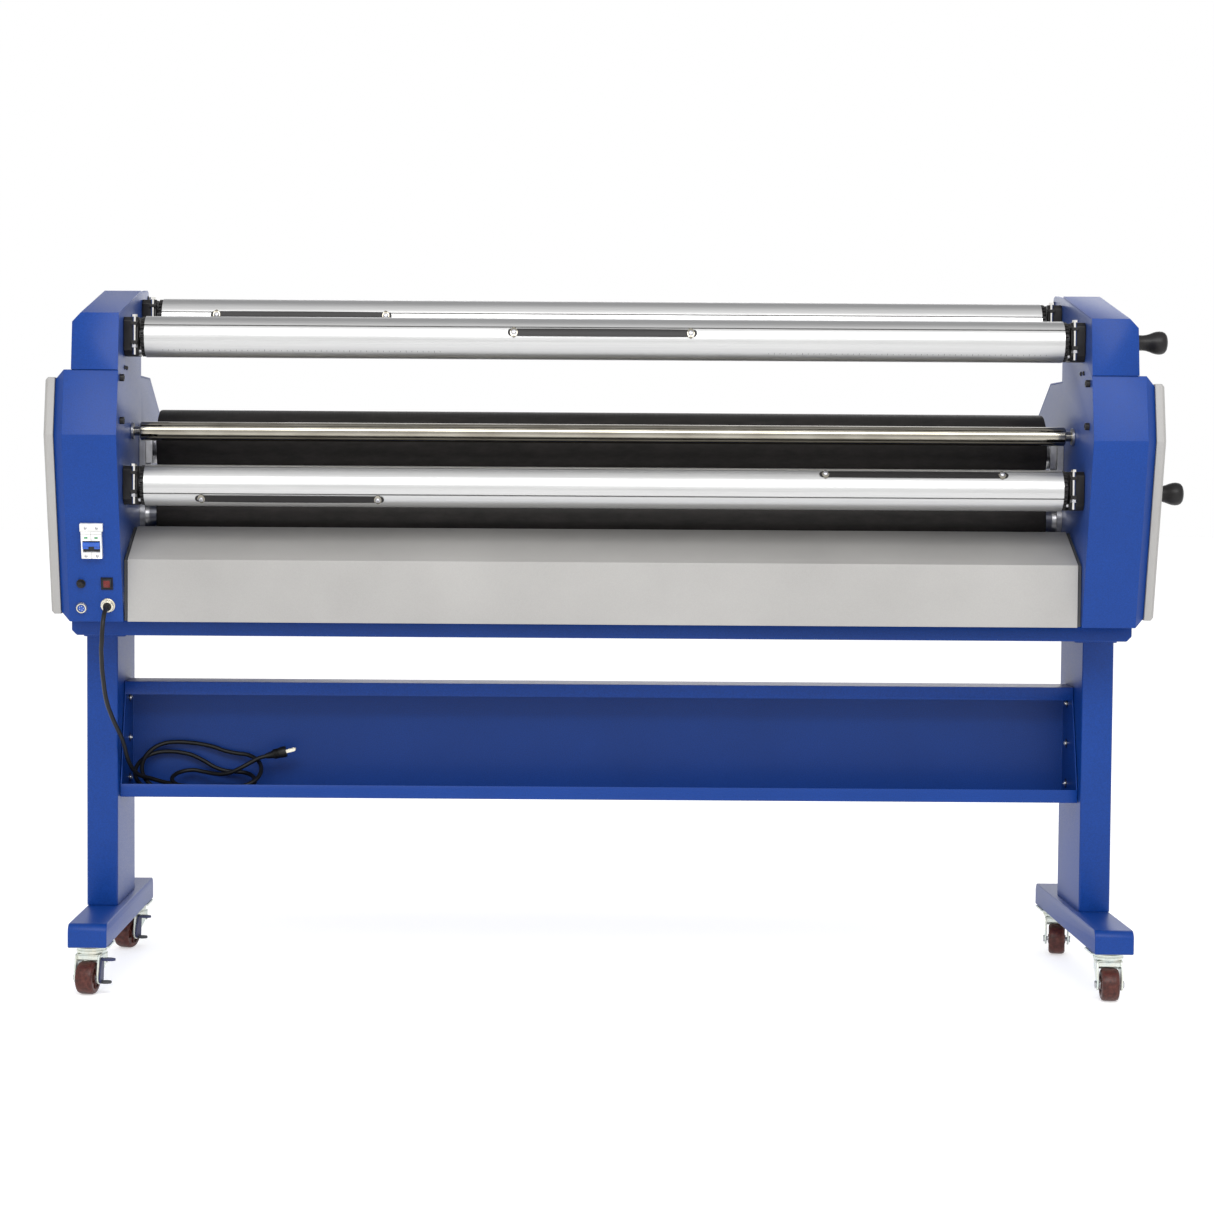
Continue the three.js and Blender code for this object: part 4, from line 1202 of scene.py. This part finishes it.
def make_rocker():
    """A rocker with a red lens across it, inside an open rim."""
    refined("rocker_switch", "black_plastic", 0.0005)
    place = on_rear_face(-876, 731)
    outline = [(-0.0062, 0.0045), (-0.0062, 0.0050), (0, 0.0069), (0.0062, 0.0050), (0.0062, 0.0045),
               (0, 0.0063)]
    lens = prism(outline, -0.0056, 0.0056)
    placed("rocker_lens", lens, place @ ACROSS_X, "dark_red_plastic", "rocker_switch", edge=0.0002)
    half_x, half_y, inner_x, inner_y = 0.0106, 0.0111, 0.0089, 0.0096
    corners = (
        ((-half_x, -half_y), (-inner_x, half_y)), ((inner_x, -half_y), (half_x, half_y)),
        ((-half_x, inner_y), (half_x, half_y)), ((-half_x, -half_y), (half_x, -inner_y)),
    )
    rim = [block((*low, 0.0003), (*high, 0.0026)) for low, high in corners]
    placed("rocker_bezel", joined(*rim), place, "black_plastic", edge=0.0004)


def make_fuse_cap():
    """A knurled cap with a hollow in its crown, on a flange."""
    place = on_rear_face(-922, 730.5)
    flange = lathe([(0, 0.0002), (0.0082, 0.0002), (0.0082, 0.0016), (0.0076, 0.0022), (0, 0.0022)])
    cap = prism(gear_outline(0.0058, 0.0062, 24), 0.002, 0.009)
    crown = lathe([(0, 0.0088), (0.0054, 0.0088), (0.0048, 0.0098), (0.0016, 0.0098), (0.0014, 0.0088),
                   (0, 0.0088)], 32)
    placed("fuse_cap", joined(flange, cap, crown), place, "black_plastic")


def make_connector():
    """A round control connector: a bright ring, a blue insert and five pins."""
    place = on_rear_face(-922.8, 687.4)
    ring = lathe([(0.0066, 0.0002), (0.0102, 0.0002), (0.0102, 0.0026), (0.0094, 0.0040), (0.0086, 0.0056),
                  (0.0070, 0.0060), (0.0066, 0.0054)])
    placed("connector_ring", ring, place, "nickel_brass")
    insert = lathe([(0, 0.0002), (0.0067, 0.0002), (0.0067, 0.0030), (0.0060, 0.0034), (0, 0.0034)], 40)
    placed("connector_insert", insert, place, "toggle_plastic")
    pins = []
    for x, y in regular(5, 0.0036):
        pin = lathe([(0, 0.0033), (0.0009, 0.0033), (0.0007, 0.0046), (0, 0.0046)], 12)
        pins.append(moved(pin, Matrix.Translation((x, y, 0))))
    placed("connector_pins", joined(*pins), place, "bright_fastener")


def make_gland():
    """The cord's gland: a bright ring and hexagon, and a ribbed rubber boot that tapers to the cord."""
    place = on_rear_face(-876, 692)
    bore = 0.0055
    flange = lathe([(bore, 0.0004), (0.0130, 0.0004), (0.0130, 0.0022), (0.0122, 0.0030),
                    (bore, 0.0030)], 64)
    nut = prism(regular(6, 0.0122), 0.0028, 0.0066)
    rim = lathe([(bore, 0.0064), (0.0102, 0.0064), (0.0098, 0.0088), (0.0080, 0.0096), (bore, 0.0096)])
    rings = joined(flange, nut, rim)
    placed("gland_ring", rings, place, "nickel_brass", replaces=["cable_gland"], edge=0.0003)
    profile = [(0.0043, 0.0060), (0.0076, 0.0060), (0.0076, 0.0102)]
    for rib in range(4):
        base = 0.0104 + rib * 0.0032
        radius = 0.0074 - rib * 0.0006
        profile += [(radius, base), (radius, base + 0.0018), (radius - 0.0010, base + 0.0021),
                    (radius - 0.0010, base + 0.0031)]
    profile += [(0.0048, 0.0236), (0.0043, 0.0240)]
    placed("gland_boot", lathe(profile, 40), place, "cord_rubber")


# ---------------------------------------------------------------- operator side
def make_emergency_stops():
    """A red mushroom head with three arrows, over a yellow plate and a black collar, on each deck."""
    for side, sign in SIDES.items():
        place = on_deck(sign * 905, 0.5)
        plate = lathe([(0, 0.0003), (0.0245, 0.0003), (0.0245, 0.0014), (0.0240, 0.0019), (0, 0.0019)], 64)
        placed(f"{side}_stop_plate", plate, place, "yellow_plastic")
        collar = lathe([(0.0105, 0.0018), (0.0165, 0.0018), (0.0165, 0.0046), (0.0150, 0.0056),
                        (0.0105, 0.0056)], 64)
        placed(f"{side}_stop_collar", collar, place, "black_plastic")
        head = lathe([
            (0, 0.0060), (0.0098, 0.0060), (0.0098, 0.0155), (0.0150, 0.0163), (0.0180, 0.0185),
            (0.0190, 0.0215), (0.0184, 0.0245), (0.0165, 0.0272), (0.0130, 0.0292), (0.0080, 0.0305),
            (0.0030, 0.0310), (0, 0.0310),
        ], 72)
        placed(f"{side}_stop_head", head, place, "red_plastic", f"{side}_stop", [f"{side}_emergency_stop"])
        arrow = [(0.0062, -0.0010), (0.0118, -0.0010), (0.0118, -0.0022), (0.0140, 0), (0.0118, 0.0022),
                 (0.0118, 0.0010), (0.0062, 0.0010)]
        arrows = []
        for index in range(3):
            turn = Matrix.Rotation(2 * math.pi * index / 3, 4, "Z")
            arrows.append(moved(prism(arrow, 0.0286, 0.0305), turn))
        placed(f"{side}_stop_marks", joined(*arrows), place, "white_plastic", f"{side}_stop")


def make_feed_table():
    """The table's skin, its hinge knuckles, and a ruler strip along the edge by the rollers."""
    refined("feed_table", "light_grey_paint", 0.0015)
    low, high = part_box("feed_table")
    barrel = [(0, -0.011), (0.0045, -0.011), (0.0050, -0.0105), (0.0050, 0.0105), (0.0045, 0.011),
              (0, 0.011)]
    knuckles = []
    for x in spaced(low.x + 0.12, high.x - 0.12, 4):
        for step in (-1, 0, 1):
            knuckles.append(turned(barrel, x + step * 0.0225, high.y - 0.006, low.z - 0.0008, 24))
    make_piece("table_hinges", joined(*knuckles), "machined_steel", "frame")
    ruler_y, top = low.y + 0.030, high.z
    strip = block((low.x + 0.06, ruler_y, top - 0.0004), (high.x - 0.06, ruler_y + 0.014, top + 0.0006))
    make_piece("table_ruler", strip, "aluminium_tube", "feed_table", edge=0.0003)
    ticks = []
    for step in range(-78, 79):
        deep = 0.010 if step % 5 == 0 else 0.006
        x = (low.x + high.x) / 2 + step * 0.01
        ticks.append(block((x - 0.0004, ruler_y + 0.001, top), (x + 0.0004, ruler_y + deep, top + 0.0008)))
    make_piece("table_ruler_ticks", joined(*ticks), "black_plastic", "feed_table")


def make_control_panel():
    """Buttons, a speed knob and a small meter, all unlettered, on the right housing's front face."""
    centre = at(906, 0, 960)
    centre.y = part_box("right_housing")[1].y
    place = facing(centre, (0, 1, 0))
    plate = block((-0.043, -0.052, 0.0002), (0.043, 0.052, 0.0018))
    placed("panel_plate", plate, place, "black_plastic", edge=0.0008)
    meter = block((-0.026, 0.018, 0.0016), (0.026, 0.040, 0.0042))
    placed("panel_meter", meter, place, "grey_rubber", edge=0.0012)
    glass = block((-0.021, 0.0215, 0.0040), (0.021, 0.0365, 0.0047))
    placed("panel_meter_window", glass, place, "dark_red_plastic", edge=0.0003)
    knob = joined(
        prism(gear_outline(0.0125, 0.0132, 30), 0.0030, 0.0150),
        lathe([(0, 0.0016), (0.0150, 0.0016), (0.0150, 0.0028), (0.0130, 0.0040), (0, 0.0040)]),
        lathe([(0, 0.0148), (0.0118, 0.0148), (0.0108, 0.0160), (0, 0.0160)]),
    )
    offset = Matrix.Translation((-0.018, -0.006, 0))
    placed("panel_speed_knob", knob, place @ offset, "grey_rubber")
    pointer = block((-0.0007, 0.003, 0.0158), (0.0007, 0.0115, 0.0164))
    placed("panel_knob_pointer", pointer, place @ offset, "white_plastic")
    buttons = (
        (0.018, -0.006, "green_plastic"), (-0.018, -0.036, "red_plastic"),
        (0.018, -0.036, "white_plastic"),
    )
    for index, (x, y, finish) in enumerate(buttons):
        spot = place @ Matrix.Translation((x, y, 0))
        ring = lathe([(0.0078, 0.0016), (0.0108, 0.0016), (0.0108, 0.0036), (0.0098, 0.0046),
                      (0.0078, 0.0046)], 40)
        placed(f"panel_ring_{index}", ring, spot, "bright_fastener")
        button = lathe([(0, 0.0016), (0.0076, 0.0016), (0.0076, 0.0056), (0.0062, 0.0066), (0, 0.0069)], 40)
        placed(f"panel_button_{index}", button, spot, finish)


for wheel_level in ("upper", "lower"):
    make_handwheel(wheel_level)
make_breaker()
make_rocker()
make_fuse_cap()
make_connector()
make_gland()
make_emergency_stops()
make_feed_table()
make_control_panel()


# ---------------------------------------------------------------- casters
TRAIL, WHEEL_RADIUS, WHEEL_HALF = 20, 29, 16
FORK_IN, FORK_OUT, FORK_CROWN = 19.5, 23, 71
PAD_HALF = 9
JOINTS = {joint["name"]: joint for joint in frame["joints"]}


def caster_place(name):
    """A matrix at a caster's swivel on the floor, with X along its wheel's axle."""
    swivel = JOINTS[f"{name}_swivel"]["pos_m"]
    axle = Vector(JOINTS[f"{name}_wheel_spin"]["axis"]).normalized()
    up = Vector((0, 0, 1))
    matrix = Matrix((axle, up.cross(axle), up)).transposed().to_4x4()
    matrix.translation = (swivel[0], swivel[1], 0)
    return matrix


def plates_along_x(outline, *ranges):
    """Plates of one (Y, Z) outline in millimetres, each between two X distances."""
    return [moved(prism(in_metres(outline), low * MM, high * MM), ACROSS_X) for low, high in ranges]


def cheek_outline():
    """A fork cheek, from the crown down round the axle boss."""
    return [
        (20, FORK_CROWN), (-22, FORK_CROWN), (-24.5, 66), (-27, 56), (-31.5, 38),
        *arc(-TRAIL, WHEEL_RADIUS, 11, 170, 318, 12),
        (-6, 35), (2, 42), (10, 49), (16, 57), (20, 65),
    ]


def make_mounting(name, swivel):
    """The plate under the foot, the bearing's upper race and four bolts."""
    plate = block((-0.037, -0.033, 0.0836), (0.037, 0.033, 0.0869))
    placed(f"{name}_mounting_plate", plate, swivel, "zinc_plate", edge=0.0011)
    race = lathe([(0, 0.0830), (0.0235, 0.0830), (0.0255, 0.0838), (0, 0.0838)])
    placed(f"{name}_upper_race", race, swivel, "machined_steel")
    bolts = [swivel @ Vector((x, y, 0.0836)) for x in (-0.0295, 0.0295) for y in (-0.0255, 0.0255)]
    fasteners(f"{name}_plate_bolts", hex_bolt(0.0056), bolts, (0, 0, -1), "bright_fastener")


def make_fork(name, place, body):
    """Two cheeks under a crown with turned-down skirts, and the lower half of the swivel bearing."""
    cheeks = plates_along_x(cheek_outline(), (FORK_IN, FORK_OUT), (-FORK_OUT, -FORK_IN))
    half = FORK_OUT * MM
    skirts = [
        block((-half, -0.022, 0.0605), (half, -0.0195, 0.070)),
        block((-half, 0.0175, 0.050), (half, 0.020, 0.070)),
    ]
    crown = block((-half, -0.022, 0.0668), (half, 0.020, FORK_CROWN * MM))
    fork = joined(*cheeks, *skirts, crown)
    placed(f"{name}_fork_skin", fork, place, "zinc_plate", body, [f"{name}_caster_fork"], 0.0010)
    bearing = lathe([
        (0, 0.0708), (0.0235, 0.0708), (0.0262, 0.0720), (0.0270, 0.0742), (0.0270, 0.0765),
        (0.0255, 0.0775), (0.0255, 0.0785), (0.0268, 0.0792), (0.0268, 0.0814), (0.0245, 0.0822),
        (0, 0.0822),
    ], 64)
    placed(f"{name}_swivel_bearing", bearing, place, "zinc_plate", body)


def make_axle(name, axle_place, body):
    """The axle, a little longer than the fork is wide, and a hexagon head outside each cheek."""
    tip, head = (FORK_OUT + 0.5) * MM, 0.0030
    axle = cylinder(0.004, -tip, tip, 24)
    heads = [
        prism(regular(6, 0.0066), start, start + head) for start in (FORK_OUT * MM, -FORK_OUT * MM - head)
    ]
    placed(f"{name}_axle", joined(axle, *heads), axle_place, "machined_steel", body, edge=0.0003)


def make_caster(name):
    """A swivel caster at the angle that its joints give, with a brake pedal where the CAD has one."""
    place = caster_place(name)
    axle_place = place @ Matrix.Translation((0, -TRAIL * MM, WHEEL_RADIUS * MM)) @ ALONG_X
    make_mounting(name, Matrix.Translation(place.translation))
    make_fork(name, place, f"{name}_caster")
    make_axle(name, axle_place, f"{name}_caster")
    make_wheel(name, axle_place, f"{name}_wheel")
    if f"{name}_brake_pedal" in frame["nodes"]:
        make_pedal(name, place)


def make_wheel(name, axle_place, body):
    """A moulded wheel: a crowned tread, dished sides with ribs between hub and rim, a steel bush."""
    half, radius = WHEEL_HALF * MM, WHEEL_RADIUS * MM
    section = [                   # from the hub out to the tread, as (radius, distance in from the side)
        (0.0044, 0), (0.0090, 0), (0.0098, 0.0030), (0.0178, 0.0034), (0.0196, 0.0004),
        (0.0245, 0.0004), (0.0272, 0.0020), (0.0286, 0.0052), (radius, 0.0080),
    ]
    near = [(r, -half + x) for r, x in section]
    far = [(r, -x) for r, x in reversed(near)]
    tread = lathe([*near, *far], 72)
    placed(f"{name}_tread", tread, axle_place, "caster_tread", body, [f"{name}_caster_wheel"])
    bush = sleeve(0.0042, 0.0078, -half - 0.0010, half + 0.0010, 32)
    placed(f"{name}_hub_bush", bush, axle_place, "machined_steel", body)
    ribs = []
    for index in range(6):
        for side in (-1, 1):
            low, high = sorted((side * (half - 0.0036), side * (half - 0.0010)))
            rib = block((0.0092, -0.0012, low), (0.0190, 0.0012, high))
            ribs.append(moved(rib, axle_place @ Matrix.Rotation(math.pi * index / 3, 4, "Z")))
    make_piece(f"{name}_wheel_ribs", joined(*ribs), "caster_tread", body, edge=0.0003)


def oval_pad(y, z, half_length, start):
    """A flat oval of the pads' width that reaches out from start along X."""
    outline = [(start + half_length * (1 + x), y + PAD_HALF * v) for x, v in regular(32, 1)]
    return prism(in_metres(outline), (z - 2) * MM, (z + 2) * MM)


def make_pedal(name, place):
    """The brake lever with a dark pad to press on and a grey pad to release, both ribbed."""
    body = f"{name}_pedal"
    start = FORK_OUT + 0.4
    arm = [(-8, 62), (-14, 65.5), (-20, 62), *arc(-TRAIL, WHEEL_RADIUS, 10, 162, 342, 14), (-9.5, 40)]
    lever = joined(*plates_along_x(arm, (start, start + 3)))
    placed(f"{name}_pedal_arm", lever, place, "pedal_plastic", body, [f"{name}_brake_pedal"], 0.0006)
    pads = (("press", -14, 62, 13, "pedal_plastic"), ("release", -18, 22, 10, "grey_rubber"))
    for label, y, z, half_length, finish in pads:
        ridges = []
        for step in (-2, -1, 0, 1, 2):
            x = start + half_length + step * half_length / 3.2
            corners = ((x - 0.6, y - 5.5, z + 1.8), (x + 0.6, y + 5.5, z + 2.5))
            ridges.append(block(*[Vector(corner) * MM for corner in corners]))
        pad = joined(oval_pad(y, z, half_length, start), *ridges)
        placed(f"{name}_{label}_pad", pad, place, finish, body, edge=0.0006)


for caster_name in ("rear_left", "front_left", "rear_right", "front_right"):
    make_caster(caster_name)


# ---------------------------------------------------------------- stage
def make_floor():
    bm = bmesh.new()
    bmesh.ops.create_grid(bm, x_segments=2, y_segments=2, size=40)
    mesh = bpy.data.meshes.new("floor")
    bm.to_mesh(mesh)
    bm.free()
    floor = bpy.data.objects.new("floor", mesh)
    floor.location.z = -0.0005
    mesh.materials.append(floor_paint())
    bpy.context.scene.collection.objects.link(floor)


def softbox(name, place, target, width, height, power):
    data = bpy.data.lights.new(name, "AREA")
    data.shape = "RECTANGLE"
    data.size, data.size_y = width, height
    data.energy = power
    light = bpy.data.objects.new(name, data)
    light.matrix_world = facing(Vector(place), Vector(place) - Vector(target))
    bpy.context.scene.collection.objects.link(light)


def make_world():
    """A white studio: a little brighter in front of the machine, dimmer high up behind it."""
    world = bpy.data.worlds.new("studio")
    world.use_nodes = True
    tree = world.node_tree
    direction = add_node(tree, "ShaderNodeTexCoord").outputs["Generated"]
    parts = add_node(tree, "ShaderNodeSeparateXYZ", {"Vector": direction}).outputs
    behind = spread(tree, parts["Y"], 0, 1, -0.25, 0.15)
    high = spread(tree, parts["Z"], 0, 1, 0.42, 0.62)
    before = spread(tree, parts["Y"], 0, 1, 0, -0.2)
    above = spread(tree, parts["Z"], 0, 1, -0.2, 0)
    colour = mix_colour(tree, times(tree, behind, high), (1, 1, 1, 1), (0.45, 0.45, 0.46, 1))
    colour = mix_colour(tree, times(tree, before, above), colour, (1.05, 1.05, 1.05, 1))
    tree.links.new(colour, tree.nodes["Background"].inputs["Color"])
    tree.nodes["Background"].inputs["Strength"].default_value = 1.0
    bpy.context.scene.world = world


def light_stage():
    """The floor and the studio, a large light high in front and a weaker one on the operator side."""
    make_floor()
    make_world()
    softbox("front_high", (0, -3.4, 2.9), (0, 0, 0.8), 4.5, 1.6, 120)
    softbox("operator_side", (1.0, 5.5, 2.8), (0, 0, 0.8), 4.5, 2.5, 45)
    bpy.context.scene.view_settings.view_transform = "Standard"


light_stage()
